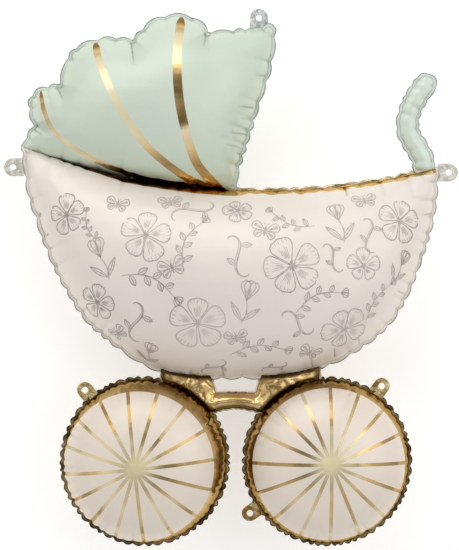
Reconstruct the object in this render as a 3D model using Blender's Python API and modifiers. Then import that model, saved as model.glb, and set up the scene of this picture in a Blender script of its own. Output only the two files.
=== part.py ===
"""Baby carriage foil balloon: one welded foil envelope, blown up, lying on its back.

Metres, +Z up. The front of the carriage faces +Z, its hood is towards +Y and its handle towards +X.
The outlines are drawn in a flat frame whose origin is halfway between the wheel hubs; the finished
envelope is then moved so that the middle of its box stands over the origin, at the floor.
"""

import math

import bmesh
import bpy
import numpy as np
from mathutils.geometry import delaunay_2d_cdt

# Foil
SEAM_WIDTH = 0.0055
FOIL_THICKNESS = 0.001
FULLNESS = 1.2
REST_FLAT_DEPTH = 0.007

# Bassinet: the long tub of the carriage. Its rim is also the weld under the hood.
RIM_LENGTH = 0.618
RIM_RISE = 0.032
RIM_SAG = 0.049
RIM_HEIGHT_OVER_HUBS = 0.4545
TUB_DEPTH = 0.3265
TUB_MIDDLE_X = -0.008

# Hood
HOOD_WIDTH = 0.372
HOOD_HEIGHT = 0.192
HOOD_REACH = 0.512

# Handle
HANDLE_HEIGHT = 0.131
HANDLE_LEAN = 0.0245
HANDLE_HALF_WIDTH = 0.012
HANDLE_RIM_SHARE = 0.969

# Wheels
WHEEL_RADIUS = 0.1215
WHEEL_SPACING = 0.273

# Chassis between the tub and the wheels
CHASSIS_SEAM_WIDTH = 0.003
CHASSIS_TOP_WIDTH = 0.250
CROSSBAR_TOP_HEIGHT = 0.1025
CROSSBAR_DEPTH = 0.0225
CROSSBAR_SPAN = 0.066
CROSSBAR_END_DROP = 0.006
WINDOW_TOP_WIDTH = 0.0800
WINDOW_BOTTOM_WIDTH = 0.0600

# Hanging tabs
TAB_RADIUS = 0.0135
TAB_REACH = 0.0110
TAB_INSET = 0.0015
EYELET_RADIUS = 0.0046
WHEEL_TAB_RADIUS = 0.0120

# Mesh fineness
EDGE_STEP = 0.0125
TAB_STEP = 0.0045
EYELET_SIDES = 10
LATTICE_STEP = 0.027
RING_INSETS = (0.0035, 0.0120)

# Shares of half the rim's length across, and of the tub's depth down from the middle of its tips
TUB_SIDE = (
    (0.971, 0.276), (0.917, 0.451), (0.850, 0.617), (0.762, 0.754), (0.620, 0.866), (0.447, 0.950),
    (0.250, 0.991), (0.000, 1.000), (-0.194, 0.993), (-0.359, 0.961), (-0.529, 0.869), (-0.689, 0.740),
    (-0.786, 0.598), (-0.864, 0.451), (-0.927, 0.285), (-0.971, 0.148),
)

# Shares of the hood's width across and height up from the rim's left tip. Each row is one smooth
# stretch between two corners: the front edge, the plain top, three blown-up panels and the tail.
HOOD_STRETCHES = (
    ((0.846, -0.240), (0.881, 0.000), (0.913, 0.196), (0.947, 0.407), (0.980, 0.600), (0.996, 0.780), (1.000, 0.915)),
    ((0.981, 0.940), (0.929, 0.907), (0.848, 0.895), (0.740, 0.883)),
    ((0.719, 0.938), (0.675, 0.993), (0.618, 1.016), (0.560, 1.003), (0.515, 0.963), (0.480, 0.905), (0.441, 0.825)),
    ((0.385, 0.830), (0.325, 0.832), (0.260, 0.803), (0.205, 0.743), (0.170, 0.620), (0.145, 0.477)),
    ((0.102, 0.458), (0.060, 0.430), (0.035, 0.375), (0.028, 0.300), (0.046, 0.165)),
    ((0.018, 0.079),),
)

# Shares of the handle's lean across and height up from its foot on the rim
HANDLE_LINE = (
    (0.10, -0.12), (-0.06, 0.13), (-0.42, 0.27), (-0.88, 0.41), (-1.00, 0.55), (-0.88, 0.68), (-0.55, 0.82),
    (-0.12, 0.95), (0.12, 1.00),
)

MINT, BLUSH, GOLD, CLEAR = range(4)
FOILS = (
    ("mint_satin_foil", (0.62, 0.76, 0.68, 1.0), 0.25, 0.38),
    ("blush_satin_foil", (0.86, 0.79, 0.76, 1.0), 0.20, 0.40),
    ("gold_mirror_foil", (0.62, 0.44, 0.18, 1.0), 1.00, 0.16),
    ("clear_film", (0.82, 0.83, 0.82, 1.0), 0.10, 0.25),
)


def spline(knots, step):
    """Points about a step apart on a Catmull-Rom curve through the knots."""
    knots = np.array(knots, float)
    padded = np.vstack([2 * knots[0] - knots[1], knots, 2 * knots[-1] - knots[-2]])
    points = []
    for before, start, end, after in zip(padded, padded[1:], padded[2:], padded[3:]):
        count = max(1, round(np.linalg.norm(end - start) / step))
        for t in np.arange(count) / count:
            points.append(
                0.5 * (2 * start + (end - before) * t + (2 * before - 5 * start + 4 * end - after) * t**2
                       + (3 * start - before - 3 * end + after) * t**3)
            )
    points.append(knots[-1])
    return np.array(points)


def evened(path, step):
    """The closed path resampled to equal steps."""
    closed = np.vstack([path, path[:1]])
    lengths = np.linalg.norm(np.diff(closed, axis=0), axis=1)
    along = np.concatenate([[0], np.cumsum(lengths)])
    stations = np.linspace(0, along[-1], max(8, round(along[-1] / step)), endpoint=False)
    return np.column_stack([np.interp(stations, along, closed[:, axis]) for axis in (0, 1)])


def circle(centre, radius, count):
    angles = np.arange(count) * math.tau / count
    return np.array(centre) + radius * np.column_stack([np.cos(angles), np.sin(angles)])


def rim_point(share):
    """A point of the tub's rim, from its left tip at 0 to its right tip at 1."""
    x = TUB_MIDDLE_X + (share - 0.5) * RIM_LENGTH
    y = RIM_HEIGHT_OVER_HUBS - (share - 0.5) * RIM_RISE - RIM_SAG * 4 * share * (1 - share)
    return np.array([x, y])


def rim_line(start, end):
    count = max(2, round(abs(end - start) * RIM_LENGTH / EDGE_STEP))
    return np.array([rim_point(share) for share in np.linspace(start, end, count + 1)])


def tub_outline():
    """The rim from left to right, then down the right side, below and back up the left."""
    side = [
        (TUB_MIDDLE_X + u * RIM_LENGTH / 2, RIM_HEIGHT_OVER_HUBS - v * TUB_DEPTH)
        for u, v in TUB_SIDE
    ]
    side = [rim_point(1), *side, rim_point(0)]
    rim = np.vstack([rim_line(0, HOOD_REACH), rim_line(HOOD_REACH, 1)[1:]])
    return np.vstack([rim, spline(side, EDGE_STEP)[1:-1]])


def hood_outline():
    """The rim under the hood, then its front edge, top and panels back to the rim's left tip."""
    tail = rim_point(0)
    scale = np.array([HOOD_WIDTH, HOOD_HEIGHT])
    corner = rim_point(HOOD_REACH)
    pieces = [rim_line(0, HOOD_REACH)]
    for stretch in HOOD_STRETCHES:
        knots = [corner] + [tail + np.array(share) * scale for share in stretch]
        pieces.append(spline(knots, EDGE_STEP)[1:])
        corner = knots[-1]
    return np.vstack(pieces)


def handle_outline():
    foot = rim_point(HANDLE_RIM_SHARE)
    scale = np.array([HANDLE_LEAN, HANDLE_HEIGHT])
    line = spline([foot + np.array(share) * scale for share in HANDLE_LINE], EDGE_STEP / 2)
    along = np.gradient(line, axis=0)
    along /= np.linalg.norm(along, axis=1)[:, None]
    across = np.column_stack([along[:, 1], -along[:, 0]]) * HANDLE_HALF_WIDTH
    facing = math.atan2(along[-1, 1], along[-1, 0])
    turn = facing + np.linspace(-math.pi / 2, math.pi / 2, 9)[1:-1]
    tip = line[-1] + HANDLE_HALF_WIDTH * np.column_stack([np.cos(turn), np.sin(turn)])
    return evened(np.vstack([line + across, tip, (line - across)[::-1]]), EDGE_STEP)


def hub(side):
    return np.array([side * WHEEL_SPACING / 2, 0.0])


def wheel_outline(side):
    return circle(hub(side), WHEEL_RADIUS, round(math.tau * WHEEL_RADIUS / EDGE_STEP))


def chassis_outline():
    """Both legs and the bar between them: up behind the tub, down over the wheels, hollowed below."""
    half_top, half_bar = CHASSIS_TOP_WIDTH / 2, CROSSBAR_SPAN / 2
    behind_tub = RIM_HEIGHT_OVER_HUBS - TUB_DEPTH + 0.2 * TUB_DEPTH
    shoulder = WHEEL_RADIUS
    underside = CROSSBAR_TOP_HEIGHT - CROSSBAR_DEPTH
    across = np.linspace(-half_bar, half_bar, 9)
    below = underside - CROSSBAR_END_DROP * (across / half_bar) ** 2
    right = [(half_bar + 0.25 * shoulder, below[-1]), (half_top, shoulder), (half_top, behind_tub)]
    left = [(-x, y) for x, y in right[::-1]]
    return evened(np.vstack([np.column_stack([across, below]), right, left]), EDGE_STEP / 2)


def window_outline():
    """The opening between the legs, from the crossbar up to the tub."""
    top, bottom = WINDOW_TOP_WIDTH / 2, WINDOW_BOTTOM_WIDTH / 2
    high = RIM_HEIGHT_OVER_HUBS - TUB_DEPTH + 2 * CHASSIS_SEAM_WIDTH
    corners = [(-bottom, CROSSBAR_TOP_HEIGHT), (bottom, CROSSBAR_TOP_HEIGHT), (top, high), (-top, high)]
    return evened(np.array(corners), EDGE_STEP / 2)


def normals_out(path):
    """Outward directions at the points of a closed counter-clockwise path."""
    along = np.roll(path, -1, axis=0) - np.roll(path, 1, axis=0)
    along /= np.linalg.norm(along, axis=1)[:, None]
    return np.column_stack([along[:, 1], -along[:, 0]])


def turned_left(path):
    """The closed path, made counter-clockwise."""
    x, y = path.T
    area = np.sum(x * np.roll(y, -1) - y * np.roll(x, -1))
    return path if area > 0 else path[::-1]


def inside(points, path):
    """Which points a closed path winds round."""
    winding = np.zeros(len(points), int)
    for (x0, y0), (x1, y1) in zip(path, np.roll(path, -1, axis=0)):
        side = (x1 - x0) * (points[:, 1] - y0) - (y1 - y0) * (points[:, 0] - x0)
        winding += ((y0 <= points[:, 1]) & (y1 > points[:, 1]) & (side > 0)).astype(int)
        winding -= ((y0 > points[:, 1]) & (y1 <= points[:, 1]) & (side < 0)).astype(int)
    return winding != 0


def distance(points, path):
    """Each point's distance to a closed path."""
    nearest = np.full(len(points), np.inf)
    for start, end in zip(path, np.roll(path, -1, axis=0)):
        span = end - start
        share = np.clip((points - start) @ span / max(span @ span, 1e-12), 0, 1)
        nearest = np.minimum(nearest, np.linalg.norm(points - start - share[:, None] * span, axis=1))
    return nearest


class Lobe:
    """One blown-up chamber: the inside of its weld line, less its openings and the chambers over it."""

    def __init__(self, name, foil, outline, behind=(), openings=(), seam_width=SEAM_WIDTH):
        self.name, self.foil = name, foil
        self.weld = turned_left(np.array(outline))
        self.flange = self.weld + normals_out(self.weld) * seam_width
        self.behind = behind
        self.openings = [turned_left(opening) for opening in openings]
        self.opening_edges = [loop - normals_out(loop) * seam_width for loop in self.openings]

    def holds(self, points):
        found = inside(points, self.weld)
        for loop in [lobe.weld for lobe in self.behind] + self.openings:
            found &= ~inside(points, loop)
        return found

    def covers(self, points):
        """Which points the chamber and its seam cover."""
        found = inside(points, self.flange)
        for loop in self.opening_edges:
            found &= ~inside(points, loop)
        return found

    def filling(self):
        """Points inside the weld: rings that follow it where the foil is steep, then an even lattice."""
        kept = []
        for inset in RING_INSETS:
            ring = evened(self.weld, EDGE_STEP)
            ring = ring - normals_out(ring) * inset
            kept.append(ring[distance(ring, self.weld) > 0.93 * inset])
        low, high = self.weld.min(axis=0), self.weld.max(axis=0)
        rows = []
        for row, y in enumerate(np.arange(low[1], high[1], LATTICE_STEP * math.sqrt(0.75))):
            x = np.arange(low[0] + (row % 2) * LATTICE_STEP / 2, high[0], LATTICE_STEP)
            rows.append(np.column_stack([x, np.full(len(x), y)]))
        lattice = np.vstack(rows)
        kept.append(lattice[distance(lattice, self.weld) > RING_INSETS[-1] + 0.5 * LATTICE_STEP])
        points = np.vstack(kept)
        points = points[self.holds(points)]
        for loop in [lobe.weld for lobe in self.behind] + self.openings:
            points = points[distance(points, loop) > 0.4 * EDGE_STEP]
        return points


class Tab:
    """A flat hanging tab with a round end and an eyelet, standing out from a point of the weld."""

    def __init__(self, foot, outward, radius):
        outward = np.array(outward, float) / np.linalg.norm(outward)
        foot = np.array(foot, float) + outward * TAB_INSET
        self.eyelet_centre = foot + outward * (SEAM_WIDTH + TAB_REACH)
        facing = math.atan2(outward[1], outward[0])
        turn = facing + np.linspace(-math.pi / 2, math.pi / 2, round(math.pi * radius / TAB_STEP) + 1)
        round_end = self.eyelet_centre + radius * np.column_stack([np.cos(turn), np.sin(turn)])
        across = radius * np.array([-outward[1], outward[0]])
        self.outline = np.vstack([round_end, foot + across, foot - across])
        self.eyelet = circle(self.eyelet_centre, EYELET_RADIUS, EYELET_SIDES)


def make_lobes():
    wheels = [Lobe(f"{name}_wheel", BLUSH, wheel_outline(side)) for name, side in (("rear", -1), ("front", 1))]
    tub = Lobe("tub", BLUSH, tub_outline())
    hood = Lobe("hood", MINT, hood_outline())
    handle = Lobe("handle", MINT, handle_outline(), (tub,))
    chassis = Lobe(
        "chassis", GOLD, chassis_outline(), (tub, *wheels), (window_outline(),), CHASSIS_SEAM_WIDTH
    )
    return [*wheels, tub, hood, handle, chassis]


def wheel_tab(side, degrees):
    """A tab on a wheel's edge, at an angle from its right."""
    outward = np.array([math.cos(math.radians(degrees)), math.sin(math.radians(degrees))])
    return Tab(hub(side) + outward * WHEEL_RADIUS, outward, WHEEL_TAB_RADIUS)


def make_tabs():
    hood_top = rim_point(0) + np.array([0.945 * HOOD_WIDTH, 0.915 * HOOD_HEIGHT])
    return [
        Tab(hood_top, (0, 1), TAB_RADIUS),
        Tab(rim_point(0) + np.array([0.001, -0.030]), (-1, 0), TAB_RADIUS),
        Tab(rim_point(1) + np.array([0.000, -0.006]), (1, 0), TAB_RADIUS),
        wheel_tab(-1, 130),
        wheel_tab(1, 54),
        wheel_tab(1, 214),
    ]


def flat_pattern(lobes, tabs):
    """The envelope seen flat: its points, its triangles, and the foil and chamber of each triangle."""
    points, edges = [], []

    def add_loop(path, over=()):
        """Adds a closed path, less what is covered by the chambers over it."""
        first = len(points)
        points.extend(map(tuple, path))
        covered = np.zeros(len(path), bool)
        for lobe in over:
            covered |= lobe.holds(path)
        for i in range(len(path)):
            after = (i + 1) % len(path)
            if not (covered[i] and covered[after]):
                edges.append((first + i, first + after))

    for lobe in lobes:
        add_loop(lobe.weld, lobe.behind)
        add_loop(lobe.flange, lobes)
        for loop in lobe.openings:
            add_loop(loop, lobe.behind)
        for loop in lobe.opening_edges:
            add_loop(loop, lobe.behind)
    for tab in tabs:
        add_loop(tab.outline)
        add_loop(tab.eyelet)
    for lobe in lobes:
        points.extend(map(tuple, lobe.filling()))
    flat, _, triangles, *_ = delaunay_2d_cdt([tuple(p) for p in points], edges, [], 0, 1e-5)
    flat = np.array([tuple(p) for p in flat])
    triangles = np.array(triangles)
    middles = flat[triangles].mean(axis=1)
    foil = np.full(len(triangles), -1)
    chamber = np.full(len(triangles), -1)
    for tab in tabs:
        foil[inside(middles, tab.outline)] = CLEAR
    for lobe in lobes:
        foil[(foil < 0) & lobe.covers(middles)] = lobe.foil
    for index, lobe in enumerate(lobes):
        held = lobe.holds(middles)
        foil[held] = lobe.foil
        chamber[held] = index
    for tab in tabs:
        foil[inside(middles, tab.eyelet)] = -1
    corners = flat[triangles]
    first, second = corners[:, 1] - corners[:, 0], corners[:, 2] - corners[:, 0]
    areas = first[:, 0] * second[:, 1] - first[:, 1] * second[:, 0]
    kept = (foil >= 0) & (areas > 1e-10)
    return flat, triangles[kept], foil[kept], chamber[kept]


def blown_heights(flat, triangles, chamber):
    """How far each point stands off the seam's plane: a membrane blown up evenly from the weld lines."""
    count = len(flat)
    stiffness = np.zeros((count, count))
    load = np.zeros(count)
    for i, j, k in (np.roll(triangles, turn, axis=1).T for turn in range(3)):
        held = chamber >= 0
        i, j, k = i[held], j[held], k[held]
        to_j, to_k = flat[j] - flat[i], flat[k] - flat[i]
        doubled = to_j[:, 0] * to_k[:, 1] - to_j[:, 1] * to_k[:, 0]
        weight = np.sum(to_j * to_k, axis=1) / doubled / 2
        for row, column, sign in ((j, j, 1), (k, k, 1), (j, k, -1), (k, j, -1)):
            np.add.at(stiffness, (row, column), sign * weight)
        np.add.at(load, i, doubled / 6)
    seen = [set() for _ in range(count)]
    for triangle, home in zip(triangles, chamber):
        for corner in triangle:
            seen[corner].add(int(home))
    free = np.array([i for i in range(count) if len(seen[i]) == 1 and -1 not in seen[i]])
    height = np.zeros(count)
    height[free] = FULLNESS * np.sqrt(np.linalg.solve(stiffness[np.ix_(free, free)], load[free]))
    return height


def make_foils():
    foils = []
    for name, colour, metallic, roughness in FOILS:
        material = bpy.data.materials.new(name)
        material.use_nodes = True
        shader = material.node_tree.nodes["Principled BSDF"]
        shader.inputs["Base Color"].default_value = colour
        shader.inputs["Metallic"].default_value = metallic
        shader.inputs["Roughness"].default_value = roughness
        material.diffuse_color = colour
        foils.append(material)
    return foils


def make_front_sheet(flat, triangles, foil, height):
    """The front half of the envelope: its blown-up sheet, with the seam's edge turned back to the middle plane."""
    mesh = bpy.data.meshes.new("balloon")
    shell = bmesh.new()
    corners = [shell.verts.new((x, y, z + FOIL_THICKNESS / 2)) for (x, y), z in zip(flat, height)]
    for triangle, kind in zip(triangles, foil):
        face = shell.faces.new([corners[i] for i in triangle])
        face.material_index = int(kind)
        face.smooth = True
    bmesh.ops.delete(shell, geom=[v for v in shell.verts if not v.link_faces], context="VERTS")
    border = [edge for edge in shell.edges if edge.is_boundary]
    grown = bmesh.ops.extrude_edge_only(shell, edges=border)
    for item in grown["geom"]:
        if isinstance(item, bmesh.types.BMVert):
            item.co.z = 0
    bmesh.ops.recalc_face_normals(shell, faces=shell.faces)
    shell.to_mesh(mesh)
    shell.free()
    return mesh


def make_balloon(collection, cutters):
    lobes, tabs = make_lobes(), make_tabs()
    flat, triangles, foil, chamber = flat_pattern(lobes, tabs)
    height = blown_heights(flat, triangles, chamber)
    mesh = make_front_sheet(flat, triangles, foil, height)
    for material in make_foils():
        mesh.materials.append(material)
    balloon = bpy.data.objects.new("balloon", mesh)
    collection.objects.link(balloon)
    used = flat[np.unique(triangles)]
    middle = (used.min(axis=0) + used.max(axis=0)) / 2
    thickest = height.max() + FOIL_THICKNESS / 2
    balloon.location = (-middle[0], -middle[1], thickest - REST_FLAT_DEPTH)

    mirror = balloon.modifiers.new("back_sheet", "MIRROR")
    mirror.use_axis = (False, False, True)
    mirror.use_mirror_merge = True
    mirror.merge_threshold = 0.00001

    floor = make_floor_cutter(cutters, used.max(axis=0) - used.min(axis=0), thickest)
    cut = balloon.modifiers.new("rest_flat", "BOOLEAN")
    cut.operation = "DIFFERENCE"
    cut.solver = "EXACT"
    cut.object = floor
    return balloon


def make_floor_cutter(cutters, size, depth):
    """A block with its top at the floor. It takes off what would reach below, where the balloon lies."""
    mesh = bpy.data.meshes.new("floor_cutter")
    block = bmesh.new()
    bmesh.ops.create_cube(block, size=1.0)
    bmesh.ops.scale(block, vec=(2 * size[0], 2 * size[1], depth), verts=block.verts)
    bmesh.ops.translate(block, vec=(0, 0, -depth / 2), verts=block.verts)
    block.to_mesh(mesh)
    block.free()
    cutter = bpy.data.objects.new("floor_cutter", mesh)
    cutter.hide_render = True
    cutter.display_type = "WIRE"
    cutters.objects.link(cutter)
    return cutter


def main():
    for obj in list(bpy.data.objects):
        bpy.data.objects.remove(obj)
    collection = bpy.data.collections.new("baby_carriage_balloon")
    cutters = bpy.data.collections.new("cutters")
    for made in (collection, cutters):
        bpy.context.scene.collection.children.link(made)
    make_balloon(collection, cutters)


main()
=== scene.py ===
"""The looks of the baby carriage foil balloon: its film, puckers, print, seam and tabs."""

import math

import bmesh
import bpy
import numpy as np
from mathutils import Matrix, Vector, interpolate
from mathutils.bvhtree import BVHTree
from mathutils.kdtree import KDTree
from mathutils.geometry import delaunay_2d_cdt


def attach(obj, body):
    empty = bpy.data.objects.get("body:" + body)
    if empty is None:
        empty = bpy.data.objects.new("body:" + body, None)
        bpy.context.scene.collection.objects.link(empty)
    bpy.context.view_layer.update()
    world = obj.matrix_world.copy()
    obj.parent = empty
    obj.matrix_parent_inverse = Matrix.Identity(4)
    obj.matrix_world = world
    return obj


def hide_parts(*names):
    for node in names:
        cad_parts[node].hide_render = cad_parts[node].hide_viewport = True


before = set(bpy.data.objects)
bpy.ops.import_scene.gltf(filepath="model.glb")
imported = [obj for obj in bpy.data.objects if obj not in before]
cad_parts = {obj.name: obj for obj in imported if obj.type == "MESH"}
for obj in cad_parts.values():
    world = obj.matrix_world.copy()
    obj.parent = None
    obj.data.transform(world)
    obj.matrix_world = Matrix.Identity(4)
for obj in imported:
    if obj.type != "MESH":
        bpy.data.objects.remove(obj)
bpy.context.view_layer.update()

# The photo: metres per pixel, the outlines' origin in pixels, and the camera over it
PIXEL = 0.0015
ORIGIN_PIXEL = (235.9, 460.9)
PHOTO_HEIGHT = 550
CAMERA_SHIFT = (-0.0021, 0.0036)
CAMERA_DISTANCE = 3.2
FRAMED_HEIGHT = 0.1
SENSOR_WIDTH = 36

# Fineness of the film's mesh
SEAM_STEP = 0.0023
FINE_BAND = 0.020
FINE_STEP = 0.0035
COARSE_STEP = 0.0070
TAB_STEP = 0.0012
TAB_GRID = 0.0018
EYELET_SIDES = 32
CROWN_HEIGHT = 0.050
CORNER_REACH = 0.030
SPLIT_ROUNDS = 5
LONGEST_IN_STEPS = 1.4
SHORTEST = 0.0011
LEAST_GAP_IN_STEPS = 0.7
LEAST_HEIGHT = 0.0008
LEAST_AREA = 1e-10
FILM_THICKNESS = 0.0004
LOWEST = 0.0005

# Puckers of each chamber: pitch along the weld, depth and length of the creases
WHEEL_CREASES = (0.0130, 0.0036, 0.022)
CREASE_SIZES = {
    "rear_wheel": WHEEL_CREASES, "front_wheel": WHEEL_CREASES,
    "tub": (0.0250, 0.0034, 0.026), "hood": (0.0290, 0.0036, 0.028),
    "handle": (0.0170, 0.0022, 0.010), "chassis": (0.0120, 0.0012, 0.008),
}
CREASE_POWER = 2.4
CREASE_FADE = 1.5
FULL_DEPTH = 0.004
CORNER_DEPTH = 0.0045
CORNER_LENGTH = 0.036
BILLOW = 0.0015
BILLOW_HEIGHT = 0.011
BLEND_HEIGHT = 0.006
SHARED_HEIGHT = 0.008
SEAM_LEAN = 0.0007
CUT_LEAN = 2.2
LEAN_HEIGHT = 0.012
WELD_SHARE = 0.6
EDGE_SHARE = 1.2
JOINT_START = 0.003
JOINT_HEIGHT = 0.014
SEAM_BULGE = 0.0024
SEAM_REACH = 1.4
MARK_WIDTH = 0.0020
MARGIN_CLIMB = 0.010

# Long creases: both ends in photo pixels, and their depth
LONG_CREASES = (
    (131.5, 42, 136.5, 71, 0.0022), (207.5, 31, 204, 52, 0.0022), (57, 86, 66, 104, 0.0020),
    (71.5, 57, 75, 65, 0.0014), (84.5, 43, 86, 49, 0.0012), (164.5, 16.5, 165.5, 24, 0.0014),
    (32, 128, 45, 138, 0.0018), (266, 77, 255, 77.5, 0.0014), (253, 109, 238, 109.5, 0.0016),
    (249, 135.5, 229, 135, 0.0016), (245, 150, 224, 146, 0.0010), (251, 121, 240, 120, 0.0010),
    (333.5, 356, 332.5, 346, 0.0018), (358.5, 344, 356.5, 337, 0.0014), (344, 188, 345.5, 199, 0.0018),
    (224, 377, 221.5, 364, 0.0016), (190.5, 377, 191.5, 366, 0.0016), (312, 366, 309, 354, 0.0016),
    (197, 378, 198.5, 370, 0.0012), (403, 294, 394, 290, 0.0014), (431, 214, 420, 216, 0.0014),
    (31, 213, 41, 212, 0.0014), (60, 290, 69, 284, 0.0014), (212, 393, 203, 384, 0.0020),
    (205, 399, 197, 387, 0.0018), (213, 386, 205, 379, 0.0016), (212, 400, 214, 389, 0.0016),
    (198, 392, 206, 392, 0.0014), (191, 380, 186, 374, 0.0014), (256, 394, 264, 384, 0.0020),
    (262, 400, 270, 388, 0.0018), (254, 387, 262, 379, 0.0016), (255, 401, 253, 390, 0.0016),
    (268, 393, 260, 393, 0.0014), (277, 381, 283, 375, 0.0014), (160, 372, 175, 377, 0.0016),
    (161, 378, 172, 380, 0.0014), (178, 383, 188, 379, 0.0014), (316, 372, 302, 377, 0.0016),
    (315, 378, 303, 381, 0.0014), (298, 384, 289, 379, 0.0014),
)
LONG_CREASE_WIDTH = 0.0045
LONG_CREASE_MARK = 0.0011
LONG_CREASE_REACH = 0.0035
LONG_CREASE_STEP = 0.0017
LONG_CREASE_SHARPNESS = 2.2
DARKEST_DEPTH = 0.0018

# Crumpled film: the chassis' legs, the wheels at the chassis, the tabs, and the gold edge along the rim,
# which has an axis, a depth and a facet size for each of its two layers
CRUMPLE_SIZE = 0.014
CRUMPLE_DEPTH = 0.0011
CRUMPLE_LAYERS = (1.0, 0.8, 0.6, 0.5, 0.4)
RISEN_HEIGHT = 0.004
BAR_CRUSHED, LEGS_CRUSHED = 0.25, 0.9
LEGS_FROM, LEGS_BLEND = 0.045, 0.02
LEG_WIDTH = 0.170
LEG_EDGE = 0.03
LEG_FLATTENED = 0.7
TAB_CRINKLE = 0.0005
TAB_FACET = 0.009
TAB_LIFT = 0.0004
RIM_EDGE = 0.003
RIM_EDGE_WIDTH = 0.006
RIM_EDGE_CALM = 0.6
RIM_LAYERS = ((2, 0.0026, 0.036), (1, 0.0014, 0.052))

# Prints, in photo pixels and metres
STRIPES = (
    (((41.6, 91.5), (46, 112), (55.5, 133), (80, 152), (111, 168), (150, 180), (203, 187), (216, 188)),
     0.0034),
    (((96, 42.5), (102.6, 68), (120, 107), (140.6, 139), (157, 157), (185, 177.5), (209, 188), (222, 193)),
     0.0054),
    (((182, 18.5), (178.5, 55.5), (179.4, 92.5), (185, 127.6), (196, 162.7), (212.7, 183), (222, 192),
      (230, 199)),
     0.0066),
)
STRIPE_TIP = 0.012
STRIPE_REACH = 0.012
STRIPE_EDGE = (1.05, 0.95)
# Painted reflections along each stripe: shares of its run and how pale (1) and dark (-1) it is painted there
STRIPE_PAINTED_REFLECTIONS = (
    ((0.05, -0.6), (0.12, 0.2), (0.28, 0.9), (0.42, 0.5), (0.60, -0.2), (0.78, -0.7), (1.0, -0.8)),
    ((0.04, -0.6), (0.09, 0.7), (0.25, 1.0), (0.48, 0.9), (0.60, 0.2), (0.70, -0.6), (0.85, -0.3),
     (1.0, -0.7)),
    ((0.05, -0.3), (0.10, 0.8), (0.24, 0.8), (0.27, -0.5), (0.55, -0.8), (0.58, 1.0), (0.65, 0.5),
     (0.78, -0.4), (1.0, -0.5)),
)
BAND_UNDER_HOOD = 0.0095
BAND_BESIDE_HOOD = 0.0055
BAND_EDGE = (1.08, 0.92)
SPOKES = 16
SPOKE_HALF_WIDTH = 0.0026
PRINT_BLUR = 0.0003
BOSS_EDGE = (0.019, 0.009)
# Side, middle and radius of the disc, middle and phase of the spokes
WHEEL_PRINTS = {
    "rear_wheel": (-1, (139.3, 465.0), 0.1125, (136.8, 465.2), 0.267),
    "front_wheel": (1, (327.9, 462.5), 0.1135, (329.3, 460.8), 0.0),
}
INK_WIDTH = 0.0017
INK_LIFT = 0.0002
INK_DROP, INK_DROP_REACH = 0.04, 0.09
LONGEST_INK = 0.02
STEEPEST_INK = 0.25
SCROLL_TURN = 3.0

# Colours as the shaders take them
MINT_COLOUR, MINT_SHADE = (0.680, 0.775, 0.675, 1), (0.640, 0.745, 0.637, 1)
# The handle's mint, lighter than the hood's: painted light on the same film
HANDLE_PAINTED_LIGHT_MINT = (0.72, 0.81, 0.715, 1)
BLUSH_COLOUR, BLUSH_SHADE = (0.880, 0.820, 0.765, 1), (0.850, 0.790, 0.732, 1)
WHEEL_COLOUR, WHEEL_SHADE = (0.855, 0.775, 0.690, 1), (0.825, 0.745, 0.655, 1)
# Pale margins by the welds: partly the film's unprinted margin, partly painted light over the shade in the
# groove at the weld
MINT_MARGIN_AND_PAINTED_LIGHT, BLUSH_MARGIN_AND_PAINTED_LIGHT = (0.92, 0.98, 0.91, 1), (0.97, 0.94, 0.89, 1)
GOLD_COLOUR, GOLD_SHADE = (0.78, 0.57, 0.28, 1), (0.58, 0.39, 0.16, 1)
CHASSIS_COLOUR, CHASSIS_SHADE = (0.80, 0.60, 0.29, 1), (0.55, 0.37, 0.15, 1)
# Painted shade near the chassis' welds
CHASSIS_DARK = (0.10, 0.055, 0.018, 1)
# Painted pale and dark reflections for the printed gold
PAINTED_GOLD_PALE, PAINTED_GOLD_DARK = (0.92, 0.82, 0.56, 1), (0.16, 0.09, 0.03, 1)
GOLD_EDGE = (0.80, 0.62, 0.38, 1)
RIM_COLOUR, RIM_SHADE = (0.82, 0.71, 0.50, 1), (0.36, 0.29, 0.17, 1)
INK_COLOUR, INK_SHADE = (0.60, 0.54, 0.50, 1), (0.36, 0.32, 0.29, 1)
SATIN_METALLIC = 0.25
SATIN_ROUGHNESS = 0.46
GOLD_ROUGHNESS = 0.16
SATIN_RELIEF = 0.0007
# How far the crease marks darken the film: painted shade
CREASE_DARKNESS = 0.7

# Noise values between which clouds and grain run, and the margins between which a colour fades in: the pale
# unprinted margin with painted light by the welds, the painted shade near the chassis' welds and the seams'
# darker cut
CLOUD_RANGE, GRAIN_RANGE = (0.35, 0.65), (0.3, 0.7)
MARGIN_PAINTED_LIGHT_FADE, EDGE_SHADE_FADE, CUT_FADE = (-0.75, -0.05, 0.0, 0.85), (-0.85, -0.35, 0.0, 0.92), (0.62, 0.86)

# Screen colours: the painted shadow that creases fade to, the seams' film, its clouds and its cut, and the
# tabs' film and shine
CREASE_SHADOW, GILT_SHADOW = (96, 104, 100), (70, 45, 15)
SEAM_FILMS = {
    # Wheel seams: gold foil painted dark, a painted dark reflection
    "painted_dark_gold": ((164, 140, 92), (72, 56, 30), (44, 34, 18), 0.7),
    "mint": ((226, 236, 228), (208, 220, 211), (132, 142, 136), 0.0),
    "blush": ((246, 240, 232), (232, 225, 216), (158, 152, 144), 0.0),
}
CLEAR_TAB, PALE_TAB = ((214, 218, 216), (160, 168, 166)), ((228, 224, 214), (190, 186, 172))
GOLD_TAB = ((236, 214, 160), (150, 118, 60))

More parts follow.
